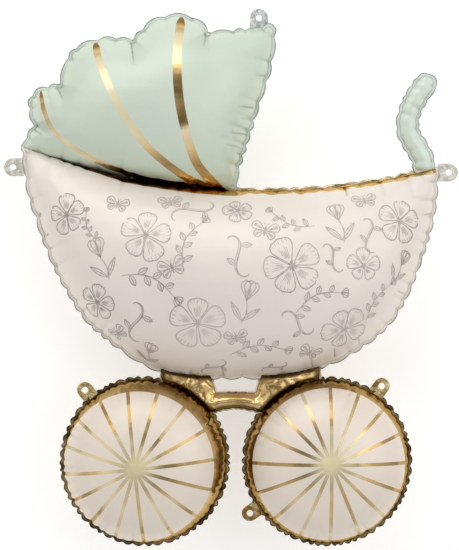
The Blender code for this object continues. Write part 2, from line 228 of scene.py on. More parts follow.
# Studio. The sky's tones go from straight below upwards; straight above it is white.
WORLD_LIGHT = 0.95
SKY_SLOPE = 0.22
SKY_TONES = ((0.0, 0.55), (0.35, 0.8), (0.62, 1.0), (0.80, 0.95), (0.90, 0.45), (0.97, 0.22))
SKY_TINT = (1, 0.99, 0.975)
SOFTBOXES = (
    ("upper_softbox", (-0.7, 2.0, 1.9), (2.6, 1.4), 12),
    ("right_softbox", (1.6, 0.3, 2.2), (1.2, 2.4), 8),
)
SOFTBOX_AIM = (0, 0, 0.1)
FLOOR_COLOUR, FLOOR_SHADE = (0.80, 0.80, 0.795, 1), (0.79, 0.79, 0.785, 1)
FLOOR_GLOW = 0.50
FLOOR_SIZE = 9
FLOOR_DROP = 0.0005
# The outlines' sizes and shares, as in the part's source, because this script can't read that file
SEAM_WIDTH = 0.0055
# Bassinet: the long tub of the carriage. Its rim is also the weld under the hood.
RIM_LENGTH = 0.618
RIM_RISE = 0.032
RIM_SAG = 0.049
RIM_HEIGHT_OVER_HUBS = 0.4545
TUB_DEPTH = 0.3265
TUB_MIDDLE_X = -0.008

# Hood
HOOD_WIDTH = 0.372
HOOD_HEIGHT = 0.192
HOOD_REACH = 0.512

# Handle
HANDLE_HEIGHT = 0.131
HANDLE_LEAN = 0.0245
HANDLE_HALF_WIDTH = 0.012
HANDLE_RIM_SHARE = 0.969

# Wheels
WHEEL_RADIUS = 0.1215
WHEEL_SPACING = 0.273

# Chassis between the tub and the wheels. Its rear end is set in from where the front one is.
CHASSIS_SEAM_WIDTH = 0.003
CHASSIS_TOP_WIDTH = 0.250
CHASSIS_BEHIND_TUB = 0.2
REAR_INSET_TOP, REAR_INSET_SHOULDER = 0.010, 0.014
UNDERSIDE_FLARE = 0.25
CROSSBAR_TOP_HEIGHT = 0.1025
CROSSBAR_DEPTH = 0.0225
CROSSBAR_SPAN = 0.066
CROSSBAR_END_DROP = 0.006
WINDOW_TOP_WIDTH = 0.0800
WINDOW_BOTTOM_WIDTH = 0.0600

# Hanging tabs: the hood's by shares of the hood, the rim's by steps from its tips, the wheels' by angles
TAB_RADIUS = 0.0135
TAB_REACH = 0.0110
TAB_INSET = 0.0015
EYELET_RADIUS = 0.0046
WHEEL_TAB_RADIUS = 0.0120
HOOD_TAB_SHARE = (0.945, 0.915)
REAR_TAB_STEP, HANDLE_TAB_STEP = (0.001, -0.030), (0.000, -0.006)
WHEEL_TAB_ANGLES = ((-1, 130), (1, 54), (1, 214))

# Shares of half the rim's length across, and of the tub's depth down from the middle of its tips
TUB_SIDE = (
    (0.971, 0.276), (0.917, 0.451), (0.850, 0.617), (0.762, 0.754), (0.620, 0.866), (0.447, 0.950),
    (0.250, 0.991), (0.000, 1.000), (-0.194, 0.993), (-0.359, 0.961), (-0.529, 0.869), (-0.689, 0.740),
    (-0.786, 0.598), (-0.864, 0.451), (-0.927, 0.285), (-0.971, 0.148),
)

# Shares of the hood's width across and height up from the rim's left tip. Each row is one smooth
# stretch between two corners: the front edge, the plain top, three blown-up panels and the tail.
HOOD_STRETCHES = (
    ((0.846, -0.240), (0.881, 0.000), (0.913, 0.196), (0.947, 0.407), (0.980, 0.600), (0.996, 0.780),
     (1.000, 0.915)),
    ((0.981, 0.940), (0.929, 0.907), (0.848, 0.895), (0.740, 0.883)),
    ((0.719, 0.938), (0.675, 0.993), (0.618, 1.016), (0.560, 1.003), (0.515, 0.963), (0.480, 0.905),
     (0.441, 0.825)),
    ((0.385, 0.830), (0.325, 0.832), (0.260, 0.803), (0.205, 0.743), (0.170, 0.620), (0.145, 0.477)),
    ((0.102, 0.458), (0.060, 0.430), (0.035, 0.375), (0.028, 0.300), (0.046, 0.165)),
    ((0.018, 0.079),),
)
NOTCHES = (1, 2, 3, 4)

# Shares of the handle's lean across and height up from its foot on the rim
HANDLE_LINE = (
    (0.10, -0.12), (-0.06, 0.13), (-0.42, 0.27), (-0.88, 0.41), (-1.00, 0.55), (-0.88, 0.68), (-0.55, 0.82),
    (-0.12, 0.95), (0.12, 1.00),
)
CURVE_POINTS = 9

# The chambers in order, and the material slots
REAR_WHEEL, FRONT_WHEEL, TUB, HOOD, HANDLE, CHASSIS = range(6)
HOOD_SLOT, TUB_SLOT = "mint_satin_foil", "blush_satin_foil"
GOLD_SLOT, TAB_SLOT = "gold_mirror_foil", "clear_film"


def flat_place(column, row):
    """A photo pixel's place in the outlines' frame."""
    return np.array([(column - ORIGIN_PIXEL[0]) * PIXEL, (ORIGIN_PIXEL[1] - row) * PIXEL])


def long_creases():
    """The ends and the depth of each long crease, in the outlines' frame."""
    return [(flat_place(*crease[:2]), flat_place(*crease[2:4]), crease[4]) for crease in LONG_CREASES]


def spline(knots, step):
    """Points about a step apart on a Catmull-Rom curve through the knots."""
    knots = np.array(knots, float)
    padded = np.vstack([2 * knots[0] - knots[1], knots, 2 * knots[-1] - knots[-2]])
    points = []
    for before, start, end, after in zip(padded, padded[1:], padded[2:], padded[3:]):
        count = max(1, round(np.linalg.norm(end - start) / step))
        for t in np.arange(count) / count:
            points.append(
                0.5 * (2 * start + (end - before) * t + (2 * before - 5 * start + 4 * end - after) * t**2
                       + (3 * start - before - 3 * end + after) * t**3)
            )
    points.append(knots[-1])
    return np.array(points)


def evened(path, step):
    """The closed path resampled to equal steps."""
    closed = np.vstack([path, path[:1]])
    lengths = np.linalg.norm(np.diff(closed, axis=0), axis=1)
    along = np.concatenate([[0], np.cumsum(lengths)])
    stations = np.linspace(0, along[-1], max(8, round(along[-1] / step)), endpoint=False)
    return np.column_stack([np.interp(stations, along, closed[:, axis]) for axis in (0, 1)])


def circle(centre, radius, count):
    angles = np.arange(count) * math.tau / count
    return np.array(centre) + radius * np.column_stack([np.cos(angles), np.sin(angles)])


def rim_height(share):
    """The height of the tub's rim, from its left tip at 0 to its right tip at 1."""
    return RIM_HEIGHT_OVER_HUBS - (share - 0.5) * RIM_RISE - RIM_SAG * 4 * share * (1 - share)


def rim_point(share):
    return np.array([TUB_MIDDLE_X + (share - 0.5) * RIM_LENGTH, rim_height(share)])


def rim_line(start, end):
    count = max(2, round(abs(end - start) * RIM_LENGTH / SEAM_STEP))
    return np.array([rim_point(share) for share in np.linspace(start, end, count + 1)])


def tub_outline():
    """The rim from left to right, then down the right side, below and back up the left."""
    side = [
        (TUB_MIDDLE_X + u * RIM_LENGTH / 2, RIM_HEIGHT_OVER_HUBS - v * TUB_DEPTH)
        for u, v in TUB_SIDE
    ]
    side = [rim_point(1), *side, rim_point(0)]
    rim = np.vstack([rim_line(0, HOOD_REACH), rim_line(HOOD_REACH, 1)[1:]])
    return np.vstack([rim, spline(side, SEAM_STEP)[1:-1]])


def hood_outline():
    """The rim under the hood, then its front edge, top and panels back to the rim's left tip."""
    tail = rim_point(0)
    scale = np.array([HOOD_WIDTH, HOOD_HEIGHT])
    corner = rim_point(HOOD_REACH)
    pieces = [rim_line(0, HOOD_REACH)]
    for stretch in HOOD_STRETCHES:
        knots = [corner] + [tail + np.array(share) * scale for share in stretch]
        pieces.append(spline(knots, SEAM_STEP)[1:])
        corner = knots[-1]
    return np.vstack(pieces)


def hood_corners():
    """The notches between the hood's panels, where its film creases deeply."""
    scale = np.array([HOOD_WIDTH, HOOD_HEIGHT])
    return [rim_point(0) + np.array(HOOD_STRETCHES[i][-1]) * scale for i in NOTCHES]


def directions(path):
    """The unit directions along the points of an open path."""
    along = np.gradient(path, axis=0)
    return along / np.maximum(np.linalg.norm(along, axis=1), 1e-9)[:, None]


def round_end(centre, facing, radius, sides):
    """A half circle of points round a centre, from the right to the left of where it faces."""
    turn = facing + np.linspace(-math.pi / 2, math.pi / 2, sides)
    return centre + radius * np.column_stack([np.cos(turn), np.sin(turn)])


def handle_outline():
    foot = rim_point(HANDLE_RIM_SHARE)
    scale = np.array([HANDLE_LEAN, HANDLE_HEIGHT])
    line = spline([foot + np.array(share) * scale for share in HANDLE_LINE], SEAM_STEP / 2)
    along = directions(line)
    across = np.column_stack([along[:, 1], -along[:, 0]]) * HANDLE_HALF_WIDTH
    facing = math.atan2(along[-1, 1], along[-1, 0])
    tip = round_end(line[-1], facing, HANDLE_HALF_WIDTH, CURVE_POINTS)[1:-1]
    return evened(np.vstack([line + across, tip, (line - across)[::-1]]), SEAM_STEP)


def hub(side):
    return np.array([side * WHEEL_SPACING / 2, 0.0])


def wheel_outline(side):
    return circle(hub(side), WHEEL_RADIUS, round(math.tau * WHEEL_RADIUS / SEAM_STEP))


def chassis_outline():
    """Both legs and the bar between them: up behind the tub, down over the wheels, hollowed below."""
    half_top, half_bar = CHASSIS_TOP_WIDTH / 2, CROSSBAR_SPAN / 2
    behind_tub = RIM_HEIGHT_OVER_HUBS - TUB_DEPTH + CHASSIS_BEHIND_TUB * TUB_DEPTH
    underside = CROSSBAR_TOP_HEIGHT - CROSSBAR_DEPTH
    across = np.linspace(-half_bar, half_bar, CURVE_POINTS)
    below = underside - CROSSBAR_END_DROP * (across / half_bar) ** 2
    flare = half_bar + UNDERSIDE_FLARE * WHEEL_RADIUS
    right = [(flare, below[-1]), (half_top, WHEEL_RADIUS), (half_top, behind_tub)]
    left = [
        (-half_top + REAR_INSET_TOP, behind_tub), (-half_top + REAR_INSET_SHOULDER, WHEEL_RADIUS),
        (-flare, below[-1]),
    ]
    return evened(np.vstack([np.column_stack([across, below]), right, left]), SEAM_STEP / 2)


def window_outline():
    """The opening between the legs, from the crossbar up to the tub."""
    top, bottom = WINDOW_TOP_WIDTH / 2, WINDOW_BOTTOM_WIDTH / 2
    high = RIM_HEIGHT_OVER_HUBS - TUB_DEPTH + 2 * CHASSIS_SEAM_WIDTH
    corners = [(-bottom, CROSSBAR_TOP_HEIGHT), (bottom, CROSSBAR_TOP_HEIGHT), (top, high), (-top, high)]
    return evened(np.array(corners), SEAM_STEP / 2)


def normals_out(path):
    """Outward directions at the points of a closed counter-clockwise path."""
    along = np.roll(path, -1, axis=0) - np.roll(path, 1, axis=0)
    along /= np.linalg.norm(along, axis=1)[:, None]
    return np.column_stack([along[:, 1], -along[:, 0]])


def turned_left(path):
    """The closed path, made counter-clockwise."""
    x, y = path.T
    area = np.sum(x * np.roll(y, -1) - y * np.roll(x, -1))
    return path if area > 0 else path[::-1]


def inside(points, path):
    """Which points a closed path winds round."""
    winding = np.zeros(len(points), int)
    for (x0, y0), (x1, y1) in zip(path, np.roll(path, -1, axis=0)):
        side = (x1 - x0) * (points[:, 1] - y0) - (y1 - y0) * (points[:, 0] - x0)
        winding += ((y0 <= points[:, 1]) & (y1 > points[:, 1]) & (side > 0)).astype(int)
        winding -= ((y0 > points[:, 1]) & (y1 <= points[:, 1]) & (side < 0)).astype(int)
    return winding != 0


def nearest_on(points, path):
    """Each point's distance to a path, the nearest of its stretches, and its share and length along that."""
    gaps, shares, reaches = np.full(len(points), np.inf), np.zeros(len(points)), np.zeros(len(points))
    stretches = np.zeros(len(points), int)
    for i, (start, end) in enumerate(zip(path, path[1:])):
        span = end - start
        length = max(np.linalg.norm(span), 1e-9)
        share = np.clip((points - start) @ span / length**2, 0, 1)
        gap = np.linalg.norm(points - start - share[:, None] * span, axis=1)
        closer = gap < gaps
        gaps[closer], shares[closer] = gap[closer], share[closer]
        reaches[closer], stretches[closer] = share[closer] * length, i
    return gaps, stretches, shares, reaches


class Lobe:
    """One blown-up chamber: the inside of its weld line, less its openings and the chambers over it."""

    def __init__(self, name, outline, behind=(), openings=(), seam_width=SEAM_WIDTH):
        self.name = name
        self.weld = turned_left(np.array(outline))
        self.flange = self.weld + normals_out(self.weld) * seam_width
        self.behind = behind
        self.seam_width = seam_width
        self.openings = [turned_left(opening) for opening in openings]
        self.opening_edges = [loop - normals_out(loop) * seam_width for loop in self.openings]

    def holds(self, points):
        found = inside(points, self.weld)
        for loop in [lobe.weld for lobe in self.behind] + self.openings:
            found &= ~inside(points, loop)
        return found

    def covers(self, points):
        """Which points the chamber and its seam cover."""
        found = inside(points, self.flange)
        for loop in self.opening_edges:
            found &= ~inside(points, loop)
        return found


class Tab:
    """A flat hanging tab with a round end and an eyelet, standing out from a point of the weld."""

    def __init__(self, foot, outward, radius):
        outward = np.array(outward, float) / np.linalg.norm(outward)
        foot = np.array(foot, float) + outward * TAB_INSET
        eyelet_centre = foot + outward * (SEAM_WIDTH + TAB_REACH)
        facing = math.atan2(outward[1], outward[0])
        end = round_end(eyelet_centre, facing, radius, round(math.pi * radius / TAB_STEP) + 1)
        across = radius * np.array([-outward[1], outward[0]])
        self.outline = np.vstack([end, foot + across, foot - across])
        self.eyelet = circle(eyelet_centre, EYELET_RADIUS, EYELET_SIDES)


def make_lobes():
    wheels = [Lobe("rear_wheel", wheel_outline(-1)), Lobe("front_wheel", wheel_outline(1))]
    tub, hood = Lobe("tub", tub_outline()), Lobe("hood", hood_outline())
    handle = Lobe("handle", handle_outline(), (tub,))
    chassis = Lobe("chassis", chassis_outline(), (tub, *wheels), (window_outline(),), CHASSIS_SEAM_WIDTH)
    return [*wheels, tub, hood, handle, chassis]


def wheel_tab(side, degrees):
    """A tab on a wheel's edge, at an angle from its right."""
    outward = np.array([math.cos(math.radians(degrees)), math.sin(math.radians(degrees))])
    return Tab(hub(side) + outward * WHEEL_RADIUS, outward, WHEEL_TAB_RADIUS)


def make_tabs():
    hood_top = rim_point(0) + np.array(HOOD_TAB_SHARE) * np.array([HOOD_WIDTH, HOOD_HEIGHT])
    return [
        Tab(hood_top, (0, 1), TAB_RADIUS),
        Tab(rim_point(0) + np.array(REAR_TAB_STEP), (-1, 0), TAB_RADIUS),
        Tab(rim_point(1) + np.array(HANDLE_TAB_STEP), (1, 0), TAB_RADIUS),
        *(wheel_tab(side, degrees) for side, degrees in WHEEL_TAB_ANGLES),
    ]


def film_pattern(lobes):
    """The envelope seen flat: its points, its triangles, and each triangle's chamber, or -1 on the seam."""
    points, edges = [], []

    def add_loop(path, over=()):
        """Adds a closed path, less what is covered by the chambers over it."""
        first = len(points)
        points.extend(map(tuple, path))
        covered = np.zeros(len(path), bool)
        for lobe in over:
            covered |= lobe.holds(path)
        for i in range(len(path)):
            after = (i + 1) % len(path)
            if not (covered[i] and covered[after]):
                edges.append((first + i, first + after))

    for lobe in lobes:
        add_loop(lobe.weld, lobe.behind)
        add_loop(lobe.flange, lobes)
        for loop in lobe.openings + lobe.opening_edges:
            add_loop(loop, lobe.behind)
    outline_points = np.array(points)
    for lobe in lobes:
        points.extend(map(tuple, filling(lobe, outline_points)))
    flat, triangles = triangulated(points, edges, 1e-5)
    middles = flat[triangles].mean(axis=1)
    chamber, covered = np.full(len(triangles), -1), np.zeros(len(triangles), bool)
    for index, lobe in enumerate(lobes):
        held = lobe.holds(middles)
        chamber[held] = index
        covered |= held | lobe.covers(middles)
    corners = flat[triangles]
    first, second = corners[:, 1] - corners[:, 0], corners[:, 2] - corners[:, 0]
    areas = first[:, 0] * second[:, 1] - first[:, 1] * second[:, 0]
    kept = covered & (areas > LEAST_AREA)
    return flat, triangles[kept], chamber[kept]


def triangulated(points, edges, nearest):
    """Points and triangles between them that keep the edges."""
    flat, _, triangles, *_ = delaunay_2d_cdt([tuple(point) for point in points], edges, [], 0, nearest)
    return np.array([tuple(point) for point in flat]), np.array(triangles)


def lattice(low, high, step):
    rows = []
    for row, y in enumerate(np.arange(low[1], high[1], step * math.sqrt(0.75))):
        x = np.arange(low[0] + (row % 2) * step / 2, high[0], step)
        rows.append(np.column_stack([x, np.full(len(x), y)]))
    return np.vstack(rows)


def filling(lobe, outline_points):
    """Points inside a chamber: close together near its welds, where the film puckers, and wider inside."""
    seams = KDTree(len(outline_points))
    for index, (x, y) in enumerate(outline_points):
        seams.insert((x, y, 0), index)
    seams.balance()
    low, high = lobe.weld.min(axis=0), lobe.weld.max(axis=0)
    kept = []
    bands = ((FINE_STEP, LEAST_GAP_IN_STEPS * SEAM_STEP, FINE_BAND), (COARSE_STEP, FINE_BAND, math.inf))
    for step, nearest, furthest in bands:
        grid = lattice(low, high, step)
        grid = grid[lobe.holds(grid)]
        gap = np.array([seams.find((x, y, 0))[2] for x, y in grid])
        kept.append(grid[(gap > nearest) & (gap <= furthest)])
    return np.vstack(kept)


class Film:
    """The balloon's film: front and back sheets of even triangles that share the points of their welds."""

    def __init__(self, cad, lobes, tabs):
        self.corners = hood_corners()
        self.long_creases = long_creases()
        flat, triangles, chamber = film_pattern(lobes)
        points = np.array([v.co for v in cad.data.vertices])
        tip = points[points[:, 1] > points[:, 1].max() - 1e-4]
        self.plane = (tip[:, 2].min() + tip[:, 2].max()) / 2
        self.sheet = tip[:, 2].max() - self.plane
        loops = np.vstack([flat[np.unique(triangles)]] + [tab.outline for tab in tabs])
        self.shift = -(loops.min(axis=0) + loops.max(axis=0)) / 2
        self.tree = BVHTree.FromObject(cad, bpy.context.evaluated_depsgraph_get())
        self.solid = cad.data
        shell = bmesh.new()
        home = shell.faces.layers.int.new("chamber")
        corners = [shell.verts.new((x, y, 0)) for x, y in flat]
        for triangle, index in zip(triangles, chamber):
            shell.faces.new([corners[i] for i in triangle])[home] = int(index)
        self.drop_loose(shell)
        self.raise_points(shell, home)
        for _ in range(SPLIT_ROUNDS):
            edges = list(shell.edges)
            lengths = np.array([edge.calc_length() for edge in edges])
            long = [edges[i] for i in np.flatnonzero(lengths > self.wanted(edges))]
            if not long:
                break
            bmesh.ops.subdivide_edges(shell, edges=long, cuts=1)
            bmesh.ops.triangulate(shell, faces=[face for face in shell.faces if len(face.verts) > 3])
            self.raise_points(shell, home)
            self.turn_edges(shell, home)
        self.clean(shell, home)
        shell.verts.index_update()
        self.start = np.array([v.co for v in shell.verts])
        self.front_faces = np.array([[v.index for v in face.verts] for face in shell.faces])
        self.chamber = np.array([face[home] for face in shell.faces])
        self.free = np.array([self.is_free(v, home) for v in shell.verts])
        shell.free()
        count = len(self.start)
        twin = np.arange(count)
        twin[self.free] = count + np.arange(self.free.sum())
        self.both = np.vstack([self.start, self.start[self.free] * (1, 1, -1)])
        self.back_faces = twin[self.front_faces[:, ::-1]]

    def wanted(self, edges):
        """The longest that edges may be: short near the welds and long creases, longer on the crown."""
        ends = np.array([[v.co for v in edge.verts] for edge in edges])
        highest = ends[:, :, 2].max(axis=1)
        share = np.clip(highest / CROWN_HEIGHT, 0, 1)
        middles = ends.mean(axis=1)[:, :2]
        for corner in self.corners:
            reach = np.linalg.norm(middles - corner, axis=1)
            share = np.minimum(share, np.clip(reach / CORNER_REACH - 0.6, 0, 1))
        limit = LONGEST_IN_STEPS * (SEAM_STEP + (COARSE_STEP - SEAM_STEP) * share)
        for start, end, _ in self.long_creases:
            limit[nearest_on(middles, (start, end))[0] < LONG_CREASE_REACH] = LONG_CREASE_STEP
        limit[highest == 0] = LONGEST_IN_STEPS * SEAM_STEP
        return limit

    def clean(self, shell, home):
        """Merges points that are too close together, keeping those on the welds in place."""
        for _ in range(2):
            welds = [v for v in shell.verts if v.co.z == 0]
            bmesh.ops.remove_doubles(shell, verts=welds, dist=SHORTEST / 2)
            free = [v for v in shell.verts if v.co.z > 0]
            bmesh.ops.remove_doubles(shell, verts=free, dist=SHORTEST)
            welds = [v for v in shell.verts if v.co.z == 0]
            found = bmesh.ops.find_doubles(shell, verts=shell.verts, keep_verts=welds, dist=0.7 * SHORTEST)
            bmesh.ops.weld_verts(shell, targetmap=found["targetmap"])
            self.turn_edges(shell, home)
        shell.verts.ensure_lookup_table()
        self.drop_loose(shell)

    @staticmethod
    def drop_loose(shell):
        bmesh.ops.delete(shell, geom=[v for v in shell.verts if not v.link_faces], context="VERTS")

    @staticmethod
    def turn_edges(shell, home):
        """Turns edges inside the chambers for rounder triangles."""
        sides = ((edge, edge.link_faces) for edge in shell.edges)
        inner = [edge for edge, faces in sides if len(faces) == 2 and faces[0][home] == faces[1][home]]
        bmesh.ops.beautify_fill(shell, faces=shell.faces, edges=inner, method="ANGLE")

    @staticmethod
    def is_free(v, home):
        """Whether a point lies inside one chamber, off its welds."""
        found = {face[home] for face in v.link_faces}
        return len(found) == 1 and -1 not in found

    def raise_points(self, shell, home):
        """Lifts each free point onto the solid's front."""
        for v in shell.verts:
            if not self.is_free(v, home):
                v.co.z = 0
                continue
            above = Vector((v.co.x + self.shift[0], v.co.y + self.shift[1], 1))
            hit, _, face, _ = self.tree.ray_cast(above, Vector((0, 0, -1)))
            v.co.z = self.height(hit, face) if hit else 0.001

    def height(self, hit, face):
        """Blends the squares of a face's corner heights: a blown film rises as a root near its weld."""
        corners = [self.solid.vertices[i].co for i in self.solid.polygons[face].vertices]
        weights = interpolate.poly_3d_calc(corners, hit)
        squares = [max(0.0, corner.z - self.plane - self.sheet) ** 2 for corner in corners]
        return max(LEAST_HEIGHT, math.sqrt(sum(w * s for w, s in zip(weights, squares))))


class Creases:
    """The creases across one chamber's weld: where they lie along it, how deep each is and how long."""

    def __init__(self, lobe, others, pitch, depth, length, corners, rng):
        self.name = lobe.name
        self.path = np.vstack([lobe.weld, lobe.weld[:1]])
        self.seam_width = lobe.seam_width
        self.outward = normals_out(lobe.weld)
        self.along = np.concatenate([[0], np.cumsum(np.linalg.norm(np.diff(self.path, axis=0), axis=1))])
        self.total = self.along[-1]
        count = 2 * max(3, round(self.total / pitch / 2))
        gaps = rng.uniform(0.55, 1.45, count)
        self.at = np.cumsum(gaps) / gaps.sum() * self.total - 0.5 * pitch
        self.depth = depth * rng.uniform(0.35, 1.0, (2, count))
        self.length = length * (0.5 + 1.4 * rng.uniform(0, 1, (2, count)) ** 2)
        for corner in corners:
            station = self.along[np.argmin(np.linalg.norm(lobe.weld - corner, axis=1))]
            nearest = np.argmin(np.abs(self.at - station))
            self.at[nearest] = station
            self.depth[:, nearest] = CORNER_DEPTH
            self.length[:, nearest] = CORNER_LENGTH
        self.at.sort()
        self.fullness = depth / FULL_DEPTH
        probes = lobe.weld + self.outward * SEAM_STEP
        self.shared = np.any([other.holds(probes) for other in others], axis=0).astype(float)
        for _ in range(3):
            self.shared = (np.roll(self.shared, 1) + self.shared + np.roll(self.shared, -1)) / 3

    def nearest(self, points):
        """Each point's distance to the weld, its station, the outward direction and how far it is shared."""
        gap, i, share, reach = nearest_on(points, self.path)
        after = (i + 1) % len(self.outward)
        outward = self.outward[i] * (1 - share)[:, None] + self.outward[after] * share[:, None]
        shared = self.shared[i] * (1 - share) + self.shared[after] * share
        return gap, self.along[i] + reach, outward, shared

    def between(self, station):
        """The creases before and after a station, its share of the way between them, and how long that is."""
        after = np.searchsorted(self.at, station % self.total) % len(self.at)
        before = (after - 1) % len(self.at)
        gap = (self.at[after] - self.at[before]) % self.total
        return before, after, ((station - self.at[before]) % self.total) / gap, gap

    def slack(self, station):
        """How loose the film is between two creases, from 0 at a crease to 1 halfway."""
        across = self.between(station)[2]
        return 4 * across * (1 - across)

    def sink(self, side, station, height):
        """How far the film sinks in, sharply at a crease and hardly between two, and how much painted shade
        it gets.
        """
        before, after, across, gap = self.between(station)
        own = np.clip(height / BLEND_HEIGHT, 0, 1)
        sunk, mark = np.zeros(len(station)), np.zeros(len(station))
        for crease, nearness in ((before, 1 - across), (after, across)):
            at_weld = WELD_SHARE * self.depth[:, crease].mean(axis=0)
            depth = at_weld * (1 - own) + self.depth[side, crease] * own
            fade = np.exp(-(height / self.length[side, crease]) ** CREASE_FADE)
            sunk += depth * fade * nearness**CREASE_POWER
            mark += depth / CORNER_DEPTH * fade * np.exp(-(((1 - nearness) * gap / MARK_WIDTH) ** 2))
        return sunk, mark

    def lean(self, station):
        """The seam's alternate lean to the front and the back, from crease to crease."""
        before, _, across, _ = self.between(station)
        wave = np.where(before % 2 == 0, 1, -1) * np.cos(math.pi * across)
        return SEAM_LEAN * self.fullness**2 * wave


def vertex_normals(points, faces):
    corners = points[faces]
    across = np.cross(corners[:, 1] - corners[:, 0], corners[:, 2] - corners[:, 0])
    normals = np.zeros_like(points)
    for corner in range(3):
        np.add.at(normals, faces[:, corner], across)
    return normals / np.maximum(np.linalg.norm(normals, axis=1), 1e-12)[:, None]


def crumple(points, size, rng):
    """Creased facets, as in crumpled film, from -1 to 1."""
    total = np.zeros(len(points))
    for share in CRUMPLE_LAYERS:
        direction = rng.normal(size=3)
        direction *= math.pi * share**-1 / size / np.linalg.norm(direction)
        total += share * (1 - 2 * np.abs(np.sin(points @ direction + rng.uniform(0, math.pi))))
    return total / sum(CRUMPLE_LAYERS)


class Skin:
    """The film's points moved into its creases, with marks from 0 to 1 for how creased each point is, which
    the materials paint as shade, and margins that run from -1 well inside a chamber over 0 on its weld to 1
    at the seam's cut."""

    def __init__(self, film, creases):
        self.film, self.creases = film, creases
        self.points = film.both.copy()
        self.marks, self.margins = np.zeros(len(film.both)), np.zeros(len(film.both))
        self.home = np.full(len(film.both), -1)
        inner = film.chamber >= 0
        sides = [side[inner] for side in (film.front_faces, film.back_faces)]
        for side in sides:
            self.home[side.ravel()] = np.repeat(film.chamber[inner], 3)
        self.normals = vertex_normals(film.both, np.vstack(sides))
        self.free = np.concatenate([film.free, np.ones(len(film.both) - len(film.start), bool)])
        self.rng = np.random.default_rng(5)
        back = np.arange(len(film.both)) >= len(film.start)
        for index, crease in enumerate(creases):
            for side in (0, 1):
                own = np.flatnonzero(self.free & (self.home == index) & (back == bool(side)))
                self.crease_chamber(crease, side, own)
        self.add_long_creases(np.flatnonzero(self.free))
        edge = np.flatnonzero(~self.free)
        rim = self.rim_edge(edge)
        self.crease_seams(edge, rim)
        self.crumple_chassis(np.flatnonzero(self.free & (self.home == CHASSIS)))
        for axis, depth, size in RIM_LAYERS:
            self.points[edge, axis] += depth * rim * crumple(film.both[edge], size, self.rng)
        self.points[:, :2] += film.shift
        self.points[:, 2] = np.maximum(self.points[:, 2] + film.plane, LOWEST)

    def push(self, which, amount):
        self.points[which] += amount[:, None] * self.normals[which]

    def crease_chamber(self, crease, side, own):
        """Puckers one side of a chamber, less so where its weld is shared with another chamber."""
        start = self.film.both[own]
        gap, station, _, shared = crease.nearest(start[:, :2])
        climb = np.hypot(gap, np.abs(start[:, 2]))
        sunk, mark = crease.sink(side, station, climb)
        held = 1 - shared * (1 - np.clip(climb / SHARED_HEIGHT, 0, 1))
        swell = crease.slack(station) * climb / BILLOW_HEIGHT * np.exp(1 - climb / BILLOW_HEIGHT)
        self.push(own, (BILLOW * crease.fullness * swell - sunk) * held)
        self.marks[own] = mark * held
        self.margins[own] = -climb / MARGIN_CLIMB
        self.points[own, 2] += crease.lean(station) * np.exp(-climb / LEAN_HEIGHT) * (1 - shared)
        if crease.name.endswith("wheel"):
            joined = shared * np.clip(climb / JOINT_START, 0, 1) * np.exp(-((climb / JOINT_HEIGHT) ** 2))
            self.push(own, CRUMPLE_DEPTH * joined * crumple(start, 0.6 * CRUMPLE_SIZE, self.rng))

    def add_long_creases(self, raised):
        """Sinks the long thin creases that run in from a weld."""
        start = self.film.both[raised]
        for first, last, depth in self.film.long_creases:
            gap, _, share, _ = nearest_on(start[:, :2], (first, last))
            fade = np.clip(np.abs(start[:, 2]) / RISEN_HEIGHT, 0, 1) * (1 - share**2)
            self.push(raised, -depth * fade * np.exp(-gap / LONG_CREASE_WIDTH * LONG_CREASE_SHARPNESS))
            # The long crease's line is marked for painted shade
            line = depth / DARKEST_DEPTH * (1 - share**3) * np.exp(-((gap / LONG_CREASE_MARK) ** 2))
            self.marks[raised] = np.maximum(self.marks[raised], np.clip(line, 0, 1))

    def rim_edge(self, edge):
        """1 on the gold edge along the open part of the bassinet's rim."""
        gap, share = rim_gap(self.film.both[edge, :2])
        near = np.clip(1 - np.abs(gap + RIM_EDGE) / RIM_EDGE_WIDTH, 0, 1)
        return near * (share > HOOD_REACH + 0.01) * (share < 0.96)

    def crease_seams(self, edge, rim):
        """Waves the welds and the seam outside them, more the further out."""
        start = self.film.both[edge]
        best = np.full(len(edge), np.inf)
        for crease in self.creases:
            gap, station, outward, shared = crease.nearest(start[:, :2])
            closer = (gap < best - 1e-7) & (gap < SEAM_REACH * crease.seam_width)
            best[closer] = gap[closer]
            sunk, mark = crease.sink(0, station, np.zeros(len(edge)))
            out = gap / crease.seam_width
            bulge = SEAM_BULGE * out * crease.slack(station)
            shift = crease.fullness * bulge - sunk * (1 + EDGE_SHARE * out)
            move = np.column_stack([outward * shift[:, None], crease.lean(station) * (1 + CUT_LEAN * out)])
            move *= ((1 - shared) * (1 - RIM_EDGE_CALM * rim))[:, None]
            self.points[edge[closer]] = (start + move)[closer]
            self.marks[edge[closer]] = (mark * (1 - shared))[closer]
            self.margins[edge[closer]] = out[closer]

    def crumple_chassis(self, gold):
        """Crumples the gold film of the chassis, and flattens its legs' outer ends."""
        start = self.film.both[gold]
        gaps = [crease.nearest(start[:, :2])[0] for crease in self.creases]
        # Distance from the welds, for the painted shade near them
        self.margins[gold] = -np.min(gaps, axis=0) / MARGIN_CLIMB
        facets = crumple(start, CRUMPLE_SIZE, self.rng) * np.clip(np.abs(start[:, 2]) / RISEN_HEIGHT, 0, 1)
        aside = np.abs(start[:, 0])
        crushed = BAR_CRUSHED + LEGS_CRUSHED * np.clip((aside - LEGS_FROM) / LEGS_BLEND, 0, 1)
        self.push(gold, CRUMPLE_DEPTH * crushed * facets)
        self.points[gold, 2] *= 1 - LEG_FLATTENED * np.clip((aside - LEG_WIDTH / 2) / LEG_EDGE, 0, 1)


def linear(red, green, blue):
    """A colour as the shaders take it, from screen values up to 255."""
    return tuple((value / 255) ** 2.2 for value in (red, green, blue)) + (1,)


